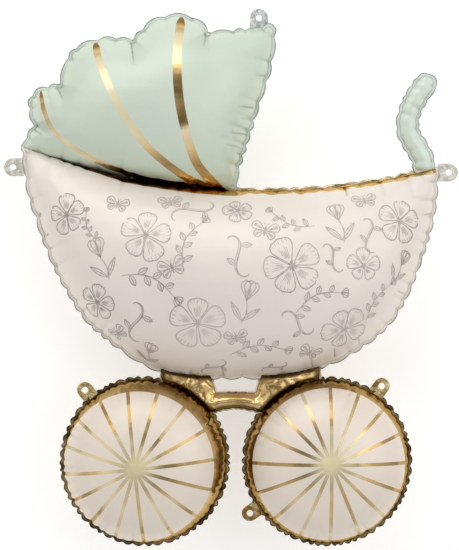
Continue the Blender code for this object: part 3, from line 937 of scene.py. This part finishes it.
class Look:
    """A material with a short way to add its nodes."""

    def __init__(self, name, colour, metallic, roughness):
        self.material = bpy.data.materials.new(name)
        self.material.use_nodes = True
        self.tree = self.material.node_tree
        self.shader = self.tree.nodes["Principled BSDF"]
        self.shader.inputs["Base Color"].default_value = colour
        self.shader.inputs["Metallic"].default_value = metallic
        self.shader.inputs["Roughness"].default_value = roughness
        self.place = self.add("ShaderNodeTexCoord").outputs["Object"]

    def add(self, kind):
        return self.tree.nodes.new(kind)

    def feed(self, socket, value):
        if isinstance(value, (int, float, tuple)):
            socket.default_value = value
        else:
            self.tree.links.new(value, socket)

    def math(self, operation, *values):
        node = self.add("ShaderNodeMath")
        node.operation = operation
        for socket, value in zip(node.inputs, values):
            self.feed(socket, value)
        return node.outputs[0]

    def attribute(self, name, output="Fac"):
        node = self.add("ShaderNodeAttribute")
        node.attribute_name = name
        return node.outputs[output]

    def split(self, vector):
        node = self.add("ShaderNodeSeparateXYZ")
        self.feed(node.inputs[0], vector)
        return node.outputs

    def noise(self, scale, detail):
        node = self.add("ShaderNodeTexNoise")
        node.inputs["Scale"].default_value = scale
        node.inputs["Detail"].default_value = detail
        self.feed(node.inputs["Vector"], self.place)
        return node.outputs["Fac"]

    def ramp(self, value, low, high, start=0.0, end=1.0):
        """A value between two limits, carried over to between two others."""
        node = self.add("ShaderNodeMapRange")
        for socket, given in zip(node.inputs, (value, low, high, start, end)):
            self.feed(socket, given)
        return node.outputs[0]

    def mix(self, share, first, second):
        node = self.add("ShaderNodeMix")
        node.data_type = "RGBA"
        self.feed(node.inputs["Factor"], share)
        self.feed(node.inputs[6], first)
        self.feed(node.inputs[7], second)
        return node.outputs[2]

    def bump(self, height, distance):
        node = self.add("ShaderNodeBump")
        node.inputs["Strength"].default_value = 1.0
        node.inputs["Distance"].default_value = distance
        self.feed(node.inputs["Height"], height)
        self.feed(self.shader.inputs["Normal"], node.outputs[0])

    def set(self, name, value):
        self.feed(self.shader.inputs[name], value)


def satin_film(look, colour, shaded, margin, gold=None, dark=0.0, pale=0.0):
    """Printed film with a satin sheen: a little cloudy, darker in its creases as painted shade, and lighter
    near its welds, partly its unprinted margin and partly painted light. Where the mask is 1 it is gold, with
    painted dark and pale reflections."""
    clouds = look.ramp(look.noise(9, 2), *CLOUD_RANGE)
    printed = look.mix(clouds, colour, shaded)
    # Lighter near the welds: unprinted margin and painted light
    printed = look.mix(look.ramp(look.attribute("margin"), *MARGIN_PAINTED_LIGHT_FADE), printed, margin)
    # Painted shade in the creases
    crease = look.math("MULTIPLY", look.attribute("crease"), CREASE_DARKNESS)
    printed = look.mix(crease, printed, linear(*CREASE_SHADOW))
    fine = look.noise(240, 3)
    look.bump(look.math("ADD", look.math("MULTIPLY", fine, 0.12), look.noise(34, 2)), SATIN_RELIEF)
    if gold is None:
        look.set("Base Color", printed)
        look.set("Roughness", look.ramp(fine, *GRAIN_RANGE, SATIN_ROUGHNESS - 0.03, SATIN_ROUGHNESS + 0.03))
        return
    # The gold, with painted shade in its creases
    gilt = look.mix(crease, look.mix(clouds, GOLD_COLOUR, GOLD_SHADE), linear(*GILT_SHADOW))
    # Painted dark and pale reflections on the gold; it is less metallic where painted pale
    gilt = look.mix(dark, look.mix(pale, gilt, PAINTED_GOLD_PALE), PAINTED_GOLD_DARK)
    look.set("Base Color", look.mix(gold, printed, gilt))
    look.set("Metallic", look.ramp(gold, 0, 1, SATIN_METALLIC, look.ramp(pale, 0, 1, 1.0, 0.2)))
    look.set("Specular Tint", GOLD_EDGE)
    look.set("Roughness", look.ramp(gold, 0, 1, SATIN_ROUGHNESS, GOLD_ROUGHNESS))


def stripe_mask(look):
    """1 on the hood's three stripes."""
    shares = look.split(look.attribute("stripes", "Vector"))
    first, second, third = (look.math("ABSOLUTE", share) for share in shares)
    return look.ramp(look.math("MINIMUM", first, look.math("MINIMUM", second, third)), *STRIPE_EDGE)


def wheel_mask(look, axle, disc, disc_radius, hub_at, phase):
    """1 on the ring, the spokes and the hub of a wheel; the painted dark reflection on its wall and the
    painted pale reflection in its middle, each also in random patches.
    """
    x, y, _ = look.split(look.place)

    def radius(centre):
        across, up = look.math("SUBTRACT", x, float(centre[0])), look.math("SUBTRACT", y, float(centre[1]))
        squares = look.math("ADD", look.math("MULTIPLY", across, across), look.math("MULTIPLY", up, up))
        return across, up, look.math("SQRT", squares)

    from_disc, from_axle = radius(disc)[2], radius(axle)[2]
    across, up, from_hub = radius(hub_at)
    turn = look.math("DIVIDE", look.math("ARCTAN2", up, across), math.tau / SPOKES)
    turn = look.math("SUBTRACT", look.math("FRACT", look.math("ADD", turn, 0.5 - phase)), 0.5)
    sine = look.math("SINE", look.math("MULTIPLY", turn, math.tau / SPOKES))
    aside = look.math("MULTIPLY", from_hub, look.math("ABSOLUTE", sine))
    spoke = look.ramp(aside, SPOKE_HALF_WIDTH + PRINT_BLUR, SPOKE_HALF_WIDTH - PRINT_BLUR)
    ring = look.ramp(from_disc, disc_radius - PRINT_BLUR, disc_radius + PRINT_BLUR)
    gilt = look.math("MAXIMUM", look.math("MAXIMUM", spoke, ring), look.ramp(from_hub, *BOSS_EDGE))
    # Painted reflections: dark towards the wheel's wall and pale towards its middle, with random patches of
    # both
    patches = look.noise(13, 1)
    wall = look.ramp(from_axle, 0.86 * WHEEL_RADIUS, 0.99 * WHEEL_RADIUS, 0.12, 0.55)
    wall = look.math("MAXIMUM", wall, look.ramp(patches, 0.50, 0.40, 0.0, 0.42))
    middle = look.ramp(from_hub, 0.055, 0.010, 0.0, 0.9)
    pale = look.math("MAXIMUM", middle, look.ramp(patches, 0.50, 0.58, 0.0, 0.75))
    return gilt, wall, look.math("MULTIPLY", pale, look.ramp(ring, 0, 1, 1.0, 0.15))


def gold_film(name, colour, shade, roughness, relief=0.0012, painted_edge_shade=None):
    """Mirror film, which may be darker near its welds as painted shade."""
    look = Look(name, colour, 1.0, roughness)
    look.set("Specular Tint", GOLD_EDGE)
    gilt = look.mix(look.ramp(look.noise(60, 3), *CLOUD_RANGE), colour, shade)
    # Painted shade near the welds
    if painted_edge_shade:
        gilt = look.mix(look.ramp(look.attribute("margin"), *EDGE_SHADE_FADE), gilt, painted_edge_shade)
    look.set("Base Color", gilt)
    look.set("Roughness", look.ramp(look.noise(180, 2), *GRAIN_RANGE, roughness - 0.04, roughness + 0.06))
    look.bump(look.math("ADD", look.noise(70, 2), look.math("MULTIPLY", look.noise(260, 3), 0.3)), relief)
    return look.material


def seam_film(name, colour, shade, cut, metallic):
    """The welded edge: film with fine lines across it, darker along its cut."""
    look = Look(f"{name}_seam_film", linear(*colour), metallic, 0.4)
    clouds = look.ramp(look.math("ADD", look.noise(140, 3), look.noise(24, 1)), 0.82, 1.18)
    cloudy = look.mix(clouds, linear(*colour), linear(*shade))
    near_cut = look.ramp(look.attribute("margin"), *CUT_FADE)
    look.set("Base Color", look.mix(near_cut, cloudy, linear(*cut)))
    look.bump(look.noise(420, 3), 0.0004)
    return look.material


def clear_film(name, colour, shine):
    """A clear, crinkled tab."""
    look = Look(name, linear(*colour), 0.0, 0.18)
    clouds = look.ramp(look.noise(170, 3), 0.42, 0.58)
    look.set("Base Color", look.mix(clouds, linear(*colour), linear(*shine)))
    look.set("Alpha", look.ramp(look.noise(120, 2), *CLOUD_RANGE, 0.45, 0.85))
    look.bump(look.noise(150, 3), 0.003)
    return look.material


def ink():
    look = Look("print_ink", INK_COLOUR, 0.2, 0.45)
    clouds = look.ramp(look.math("ADD", look.noise(150, 2), look.noise(7, 1)), 0.8, 1.2)
    look.set("Base Color", look.mix(clouds, INK_COLOUR, INK_SHADE))
    return look.material


def petal(length, width):
    """A petal's outline from its foot and back, with a notched tip."""
    t = np.linspace(0, 1, 15)
    half = width * np.sin(math.pi * t**1.7) ** 0.85 + 0.03 * width * np.sin(9 * t)
    side = np.column_stack([length * t, half])
    tip = np.array([[length * 0.93, 0]])
    return np.vstack([side[:-2], tip, (side * (1, -1))[:-2][::-1]])


def turned(points, degrees, at=(0, 0)):
    angle = math.radians(degrees)
    rotation = np.array([[math.cos(angle), math.sin(angle)], [-math.sin(angle), math.cos(angle)]])
    return np.asarray(points, float) @ rotation + np.array(at)


def blossom(size, rng):
    """An open blossom of five notched petals with veins and a dotted middle."""
    strokes = []
    for k in range(5):
        facing = 72 * k + rng.uniform(-7, 7)
        length = size * rng.uniform(0.88, 1.08)
        strokes.append((turned(petal(length, 0.36 * length), facing), 1.0))
        for lean in (-0.20, -0.10, 0.0, 0.09, 0.19):
            start, end = rng.uniform(0.22, 0.3), rng.uniform(0.5, 0.72)
            vein = [(length * t, lean * length * t * 1.1) for t in np.linspace(start, end, 5)]
            strokes.append((turned(vein, facing), 0.45))
        for lean in (-0.24, -0.12, 0.02, 0.14, 0.25):
            edge = [(length * t, lean * length) for t in (0.74, 0.81, 0.88)]
            strokes.append((turned(edge, facing), 0.5))
    for k in range(9):
        stamen = [(size * t, 0) for t in (0.05, 0.11, 0.17)]
        strokes.append((turned(stamen, 40 * k + rng.uniform(-8, 8)), 0.9))
    return strokes


def leaf(length, width):
    t = np.linspace(0, 1, 9)
    half = width * np.sin(math.pi * t) ** 0.9
    upper = np.column_stack([length * t, half])
    lower = (upper * (1, -1))[::-1]
    strokes = [(np.vstack([upper, lower]), 0.8), (np.column_stack([length * t, 0 * t]), 0.6)]
    for share in (0.3, 0.5, 0.7):
        for side in (-1, 1):
            end = (length * (share + 0.12), side * width * 0.7 * math.sin(math.pi * share))
            strokes.append((np.array([(length * share, 0), end]), 0.4))
    return strokes


def spray(size, rng):
    """A bent stem with leaves at both sides and a bud at its tip."""
    t = np.linspace(0, 1, 16)
    stem = np.column_stack([size * 2 * (t - 0.5), size * 0.35 * np.sin(math.pi * t)])
    strokes = [(stem, 0.9)]
    for k, share in enumerate((0.12, 0.26, 0.40, 0.54, 0.68, 0.82)):
        side = 1 if k % 2 else -1
        at = stem[round(share * 15)]
        for stroke, weight in leaf(size * 0.42 * (1.1 - 0.4 * share), size * 0.10):
            strokes.append((turned(stroke, side * 48 + 20 * (0.5 - share), at), weight))
    bud = petal(size * 0.36, size * 0.10)
    for facing in (-22, 0, 22):
        strokes.append((turned(bud, facing - 25, stem[-1]), 0.8))
    return strokes


def tulip(size, rng):
    """A closed cup of three petals on a short stem with two long leaves."""
    strokes = []
    for facing, width in ((90, 0.24), (74, 0.20), (106, 0.20)):
        strokes.append((turned(petal(size * 0.95, size * width), facing), 1.0))
    for lean in (-0.10, -0.05, 0.0, 0.06, 0.11):
        strokes.append((np.array([(size * lean, size * t) for t in (0.25, 0.4, 0.55)]), 0.45))
    t = np.linspace(0, 1, 10)
    strokes.append((np.column_stack([size * 0.12 * np.sin(3 * t), -size * t]), 1.0))
    for side in (-1, 1):
        blade = leaf(size * 0.95, size * 0.11)
        strokes += [(turned(stroke, 90 - side * 42, (0, -size * 0.9)), weight) for stroke, weight in blade]
    return strokes


def tendril(size, rng):
    """A scroll that curls in at both ends, drawn with a broad and a fine line."""
    u = np.linspace(-1, 1, 61)
    heading = SCROLL_TURN * np.abs(u) ** 2.2
    step = np.column_stack([np.cos(heading), np.sin(heading)]) * size * 2.2 / len(u)
    curl = np.cumsum(step, axis=0)
    curl -= curl.mean(axis=0)
    along = directions(curl)
    aside = np.column_stack([-along[:, 1], along[:, 0]])
    beside = curl + aside * size * 0.07 * np.cos(0.5 * math.pi * u)[:, None]
    strokes = [(curl, 1.3), (beside, 0.6)]
    for share, side in ((20, 1), (40, -1)):
        for stroke, weight in leaf(size * 0.4, size * 0.09):
            strokes.append((turned(stroke, side * 70, curl[share]), weight))
    return strokes


def moth(size, rng):
    """A small four-winged insect."""
    strokes = []
    for side in (-1, 1):
        for length, width, facing in ((1.0, 0.30, 28), (0.78, 0.24, -32)):
            wing = petal(size * length, size * width)
            angle = facing if side > 0 else 180 - facing
            strokes.append((turned(wing, angle), 0.9))
            for share in (-0.4, 0.0, 0.4):
                vein = [(size * length * t, size * width * share * t) for t in (0.25, 0.5, 0.8)]
                strokes.append((turned(vein, angle), 0.45))
            spot = circle((size * length * 0.72, 0), size * 0.07, 7)
            strokes.append((turned(np.vstack([spot, spot[:1]]), angle), 0.6))
    strokes.append((np.array([(0, size * t) for t in (-0.35, -0.1, 0.15, 0.3)]), 2.2))
    for side in (-1, 1):
        feeler = [(0, size * 0.3), (side * size * 0.08, size * 0.48), (side * size * 0.2, size * 0.55)]
        strokes.append((np.array(feeler), 0.5))
    return strokes


# Motif, its place in photo pixels, its size in metres and its turn in degrees
MOTIFS = (
    (blossom, 148, 236, 0.041, 12), (blossom, 290, 266, 0.045, 40), (blossom, 396, 222, 0.036, 5),
    (blossom, 70, 216, 0.032, 30), (blossom, 198, 322, 0.043, 20), (blossom, 342, 328, 0.037, 55),
    (blossom, 100, 302, 0.033, 0), (blossom, 238, 212, 0.024, 30), (blossom, 360, 266, 0.027, 15),
    (tulip, 104, 258, 0.034, 20), (tulip, 246, 300, 0.034, -14), (tulip, 336, 222, 0.034, 10),
    (tulip, 150, 352, 0.027, -40), (tulip, 398, 266, 0.027, -25), (tulip, 50, 256, 0.026, 15),
    (spray, 194, 246, 0.038, 70), (spray, 150, 286, 0.042, -22), (spray, 316, 302, 0.036, 24),
    (spray, 256, 351, 0.040, 8), (spray, 376, 304, 0.034, 66), (spray, 96, 228, 0.024, 118),
    (spray, 292, 220, 0.033, 158), (spray, 64, 290, 0.028, 128),
    (tendril, 194, 212, 0.044, -12), (tendril, 238, 256, 0.042, 74), (tendril, 296, 322, 0.036, -70),
    (tendril, 138, 322, 0.044, 38), (tendril, 366, 236, 0.034, 58), (tendril, 214, 366, 0.032, 8),
    (tendril, 42, 224, 0.030, 92), (tendril, 274, 366, 0.026, -6), (tendril, 330, 258, 0.030, 84),
    (moth, 172, 204, 0.021, 8), (moth, 264, 232, 0.024, -12), (moth, 174, 268, 0.024, 20),
    (moth, 308, 351, 0.021, -20), (moth, 362, 202, 0.021, 14), (moth, 120, 332, 0.020, 24),
    (moth, 236, 336, 0.020, 10), (moth, 120, 206, 0.020, -15), (moth, 82, 330, 0.018, 30),
)


def lay_stroke(tree, spot, axes, line, weight, points, faces):
    """Adds a strip of ink along a line round a spot, dropped onto the film and broken where that is steep."""
    across, up, normal = axes
    along = directions(line)
    taper = np.sin(math.pi * np.linspace(0.12, 0.88, len(line))) ** 0.6
    half = (0.5 * INK_WIDTH * weight * taper)[:, None] * np.column_stack([-along[:, 1], along[:, 0]])
    before = None
    for ends in zip(line + half, line - half):
        pair = []
        for a, b in ends:
            start = spot + across * a + up * b + normal * INK_DROP
            hit, facing, _, _ = tree.ray_cast(start, -normal, INK_DROP_REACH)
            if hit is not None and abs(facing.dot(normal)) > STEEPEST_INK:
                pair.append(hit + (facing if facing.dot(normal) > 0 else -facing) * INK_LIFT)
        if len(pair) < 2 or (pair[0] - pair[1]).length > 3 * INK_WIDTH * weight + 0.001:
            before = None
            continue
        now = len(points)
        points += pair
        if before is not None and (points[now] - points[before]).length < LONGEST_INK:
            faces.append((before, before + 1, now + 1, now))
        before = now


def make_print(skin):
    """The line print on the bassinet's film, front and back, as thin inked strips that lie on it."""
    points, faces = [], []
    film = skin.film
    for side, down in ((film.front_faces, -1), (film.back_faces, 1)):
        tree = BVHTree.FromPolygons(skin.points.tolist(), side[film.chamber == TUB].tolist())
        rng = np.random.default_rng(11)
        for motif, column, row, size, turn in MOTIFS:
            centre = flat_place(column, row) + film.shift
            strokes = motif(size, rng)
            spot, normal, _, _ = tree.ray_cast(Vector((*centre, -down)), Vector((0, 0, down)))
            if spot is None:
                continue
            normal = normal if normal.z * down < 0 else -normal
            across = Vector((0, 1, 0)).cross(normal).normalized() * (-down)
            axes = across, normal.cross(across) * (-down), normal
            for line, weight in strokes:
                lay_stroke(tree, spot, axes, turned(line, turn), weight, points, faces)
    add_piece("bassinet_print", points, faces, ink())


def stripe_shares(points):
    """Each point's distance to the middle of each stripe, in the stripe's half widths, how far along a stripe
    it is, and how pale or dark the stripe's painted reflection is there."""
    shares = np.zeros((len(points), 3))
    runs = np.full(len(points), 1.0)
    tones = np.zeros(len(points))
    for index, (pixels, half_width) in enumerate(STRIPES):
        line = spline([flat_place(*pixel) for pixel in pixels], 0.004)
        spans = np.diff(line, axis=0)
        along = np.concatenate([[0], np.cumsum(np.linalg.norm(spans, axis=1))])
        gap, i, _, reach = nearest_on(points, line)
        run = along[i] + reach
        offset = points - line[i]
        side = spans[i, 0] * offset[:, 1] - spans[i, 1] * offset[:, 0]
        taper = np.clip(run / STRIPE_TIP, 0.001, 1) ** 0.5
        shares[:, index] = np.where(side > 0, 1, -1) * gap / (half_width * taper)
        near = gap < STRIPE_REACH
        runs = np.where(near, np.minimum(runs, run), runs)
        tones = np.where(near, np.interp(run / along[-1], *np.transpose(STRIPE_PAINTED_REFLECTIONS[index])), tones)
    return shares, runs, tones


def add_piece(name, points, faces, material):
    mesh = bpy.data.meshes.new(name)
    mesh.from_pydata([tuple(p) for p in points], [], [tuple(map(int, f)) for f in faces])
    mesh.materials.append(material)
    mesh.shade_smooth()
    piece = bpy.data.objects.new(name, mesh)
    bpy.context.scene.collection.objects.link(piece)
    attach(piece, "root")
    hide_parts("balloon")
    return piece


def add_values(piece, name, values):
    """Stores a value for each point, for the material to read."""
    values = np.asarray(values, float)
    kind = "FLOAT" if values.ndim == 1 else "FLOAT_VECTOR"
    attribute = piece.data.attributes.new(name, kind, "POINT")
    attribute.data.foreach_set("value" if values.ndim == 1 else "vector", values.ravel())


def thicken(piece):
    """Gives a single sheet of film its thickness, as closed faces."""
    solid = piece.modifiers.new("film", "SOLIDIFY")
    solid.thickness = FILM_THICKNESS
    solid.offset = 0


def rim_gap(points):
    """How far points in the outlines' frame lie below the tub's rim, and their share along it."""
    share = (points[:, 0] - TUB_MIDDLE_X) / RIM_LENGTH + 0.5
    return rim_height(share) - points[:, 1], share


def band_share(points):
    """Distance below the rim in widths of its gold band, which is broad under the hood, where the material
    darkens it as painted shade, and narrow beside it.
    """
    gap, share = rim_gap(points)
    broad = BAND_UNDER_HOOD * np.clip((share - 0.05) / 0.20, 0.05, 1)
    narrow = BAND_BESIDE_HOOD * (1 + 0.35 * np.sin(points[:, 0] * 210) * np.sin(points[:, 0] * 77 + 1))
    turn = np.clip((share - HOOD_REACH) / 0.02, 0, 1)
    return gap / (broad * (1 - turn) + narrow * turn)


def make_region(skin, name, keep, material, slot, sides):
    """A piece of the film's kept faces. Returns it and its points as they lie in the flat pattern."""
    faces = np.vstack([side[keep] for side in sides])
    used = np.unique(faces)
    again = np.full(len(skin.points), -1)
    again[used] = np.arange(len(used))
    piece = add_piece(name, skin.points[used], again[faces], material)
    add_values(piece, "crease", skin.marks[used])
    add_values(piece, "margin", skin.margins[used])
    return piece, skin.film.both[used, :2]


def satin(name, colour=BLUSH_COLOUR):
    return Look(name, colour, SATIN_METALLIC, SATIN_ROUGHNESS)


def film_looks(shift):
    """Each chamber's material and slot."""
    striped, plain = satin("mint_satin_film", MINT_COLOUR), satin("plain_mint_film", MINT_COLOUR)
    blush = satin("blush_satin_film")
    # Painted reflections on the stripes: dark at their tips, with pale and dark stretches along their run
    tone = striped.attribute("stripe_painted_reflection")
    tip = striped.ramp(striped.attribute("stripe_run"), 0.010, 0.018, 0.85, 0.0)
    dark = striped.math("MAXIMUM", tip, striped.ramp(tone, 0, -1, 0, 0.75))
    pale = striped.ramp(tone, 0, 1)
    satin_film(striped, MINT_COLOUR, MINT_SHADE, MINT_MARGIN_AND_PAINTED_LIGHT, stripe_mask(striped), dark, pale)
    # The handle: the hood's mint film, painted lighter
    satin_film(plain, HANDLE_PAINTED_LIGHT_MINT, MINT_COLOUR, MINT_MARGIN_AND_PAINTED_LIGHT)
    band = blush.ramp(blush.attribute("band"), *BAND_EDGE)
    # Painted shade on the gold band under the hood, darker towards the left
    shade_under_hood = blush.ramp(blush.split(blush.place)[0], -0.06, -0.16, 0.0, 0.9)
    satin_film(blush, BLUSH_COLOUR, BLUSH_SHADE, BLUSH_MARGIN_AND_PAINTED_LIGHT, band, shade_under_hood)
    # The chassis' gold, with painted shade near its welds
    gold = gold_film("gold_mirror_film", CHASSIS_COLOUR, CHASSIS_SHADE, GOLD_ROUGHNESS, 0.0004, CHASSIS_DARK)
    looks = {
        "tub": (blush.material, TUB_SLOT), "hood": (striped.material, HOOD_SLOT),
        "handle": (plain.material, HOOD_SLOT), "chassis": (gold, GOLD_SLOT),
    }
    for name, (side, disc, radius, hub_at, phase) in WHEEL_PRINTS.items():
        wheel = satin(f"{name}_film")
        disc, hub_at = flat_place(*disc) + shift, flat_place(*hub_at) + shift
        masks = wheel_mask(wheel, hub(side) + shift, disc, radius, hub_at, phase)
        satin_film(wheel, WHEEL_COLOUR, WHEEL_SHADE, BLUSH_MARGIN_AND_PAINTED_LIGHT, *masks)
        looks[name] = wheel.material, TUB_SLOT
    return looks


def make_films(skin):
    film = skin.film
    looks = film_looks(film.shift)
    for index, crease in enumerate(skin.creases):
        name = "bassinet" if index == TUB else crease.name
        sides = film.front_faces, film.back_faces
        piece, flat = make_region(skin, f"{name}_film", film.chamber == index, *looks[crease.name], sides)
        if index == HOOD:
            for name, values in zip(("stripes", "stripe_run", "stripe_painted_reflection"), stripe_shares(flat)):
                add_values(piece, name, values)
        elif index == TUB:
            add_values(piece, "band", band_share(flat))


def make_seams(skin):
    """The welded edge round each part, as a strip of its own film."""
    film = skin.film
    outside = film.chamber < 0
    middles = film.both[film.front_faces[outside], :2].mean(axis=1)
    owner = np.full(len(film.chamber), -1)
    owner[outside] = np.argmin([crease.nearest(middles)[0] for crease in skin.creases], axis=0)
    above = np.zeros(len(film.chamber), bool)
    gap, share = rim_gap(middles)
    above[outside] = (gap < 0.0005) & (share > HOOD_REACH) & (share < 0.995)
    gold = gold_film("gold_seam_film", RIM_COLOUR, RIM_SHADE, GOLD_ROUGHNESS)
    painted_dark_seam, mint, blush = (seam_film(name, *tones) for name, tones in SEAM_FILMS.items())
    strips = (
        ("rim", (owner == TUB) & above, gold, GOLD_SLOT),
        ("bassinet", (owner == TUB) & ~above, blush, TUB_SLOT),
        ("hood", owner == HOOD, mint, HOOD_SLOT),
        ("handle", owner == HANDLE, mint, HOOD_SLOT),
        # The wheels' gold seams, painted dark as a painted dark reflection
        ("rear_wheel", owner == REAR_WHEEL, painted_dark_seam, GOLD_SLOT),
        ("front_wheel", owner == FRONT_WHEEL, painted_dark_seam, GOLD_SLOT),
        ("chassis", owner == CHASSIS, gold, GOLD_SLOT),
    )
    for name, keep, look, slot in strips:
        thicken(make_region(skin, f"{name}_seam", keep, look, slot, (film.front_faces,))[0])


def make_tab(film, name, tab, material, rng):
    """A crinkled tab of film with its eyelet."""
    grid = lattice(tab.outline.min(axis=0), tab.outline.max(axis=0), TAB_GRID)
    grid = grid[inside(grid, tab.outline) & ~inside(grid, tab.eyelet)]
    loops = np.vstack([tab.outline, tab.eyelet])
    grid = grid[[np.linalg.norm(loops - point, axis=1).min() > 0.6 * TAB_GRID for point in grid]]
    count, total = len(tab.outline), len(loops)
    edges = [(i, (i + 1) % count) for i in range(count)]
    edges += [(i, count + (i + 1 - count) % (total - count)) for i in range(count, total)]
    flat, triangles = triangulated(np.vstack([loops, grid]), edges, 1e-6)
    middles = flat[triangles].mean(axis=1)
    kept = inside(middles, tab.outline) & ~inside(middles, tab.eyelet)
    points = np.column_stack([flat + film.shift, np.full(len(flat), film.plane + TAB_LIFT)])
    points[:, 2] += TAB_CRINKLE * crumple(points, TAB_FACET, rng)
    thicken(add_piece(name, points, triangles[kept], material))


def make_tab_pieces(film, tabs):
    clear, pale = clear_film("clear_tab_film", *CLEAR_TAB), clear_film("pale_tab_film", *PALE_TAB)
    gold = gold_film("gold_tab_film", linear(*GOLD_TAB[0]), linear(*GOLD_TAB[1]), 0.2)
    looks = {"hood": clear, "rear_rim": pale, "handle": pale}
    rng = np.random.default_rng(21)
    for tab, name in zip(tabs, ("hood", "rear_rim", "handle", "rear_wheel", "front_wheel", "inner_wheel")):
        make_tab(film, f"{name}_tab", tab, looks.get(name, gold), rng)


def make_softbox(name, place, size, power):
    light = bpy.data.lights.new(name, "AREA")
    light.shape = "RECTANGLE"
    light.size, light.size_y = size
    light.energy = power
    lamp = bpy.data.objects.new(name, light)
    lamp.location = place
    lamp.rotation_euler = (Vector(SOFTBOX_AIM) - lamp.location).to_track_quat("-Z", "Y").to_euler()
    bpy.context.scene.collection.objects.link(lamp)


def make_floor():
    bpy.ops.mesh.primitive_plane_add(size=FLOOR_SIZE, location=(0, 0, -FLOOR_DROP))
    floor = bpy.context.object
    floor.name = "floor"
    paper = Look("floor_paper", FLOOR_COLOUR, 0, 0.9)
    paper.set("Base Color", paper.mix(paper.noise(2, 1), FLOOR_COLOUR, FLOOR_SHADE))
    paper.set("Emission Color", FLOOR_COLOUR)
    paper.set("Emission Strength", FLOOR_GLOW)
    floor.data.materials.append(paper.material)


def make_sky():
    """The studio's light by direction: tones by height, and a slope from one side to the other."""
    world = bpy.data.worlds.new("studio")
    bpy.context.scene.world = world
    world.use_nodes = True
    nodes, join = world.node_tree.nodes, world.node_tree.links.new
    split = nodes.new("ShaderNodeSeparateXYZ")
    join(nodes.new("ShaderNodeTexCoord").outputs["Generated"], split.inputs[0])
    tones = nodes.new("ShaderNodeValToRGB")
    stops = tones.color_ramp.elements
    for index, (position, tone) in enumerate(SKY_TONES):
        stop = stops.new(position) if index else stops[0]
        stop.color = (*(tone * tint for tint in SKY_TINT), 1)
    slope = nodes.new("ShaderNodeMath")
    slope.operation = "MULTIPLY_ADD"
    slope.inputs[1].default_value, slope.inputs[2].default_value = SKY_SLOPE * WORLD_LIGHT, WORLD_LIGHT
    join(split.outputs[2], tones.inputs[0])
    join(split.outputs[1], slope.inputs[0])
    join(tones.outputs[0], nodes["Background"].inputs["Color"])
    join(slope.outputs[0], nodes["Background"].inputs["Strength"])


def make_camera():
    """Looks straight down from the photo's distance."""
    camera = bpy.data.cameras.new("camera")
    camera.sensor_width = SENSOR_WIDTH
    camera.lens = SENSOR_WIDTH * (CAMERA_DISTANCE - FRAMED_HEIGHT) / (PHOTO_HEIGHT * PIXEL)
    view = bpy.data.objects.new("camera", camera)
    view.location = (*CAMERA_SHIFT, CAMERA_DISTANCE)
    bpy.context.scene.collection.objects.link(view)
    bpy.context.scene.camera = view


lobes, tabs = make_lobes(), make_tabs()
film = Film(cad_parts["balloon"], lobes, tabs)
crease_rng = np.random.default_rng(3)
creases = []
for index, lobe in enumerate(lobes):
    corners = film.corners if lobe.name == "hood" else []
    others = lobes[:index] + lobes[index + 1:]
    creases.append(Creases(lobe, others, *CREASE_SIZES[lobe.name], corners, crease_rng))
skin = Skin(film, creases)
make_films(skin)
make_seams(skin)
make_print(skin)
make_tab_pieces(film, tabs)
bpy.context.scene.view_settings.view_transform = "Standard"
make_floor()
make_sky()
for softbox in SOFTBOXES:
    make_softbox(*softbox)
make_camera()
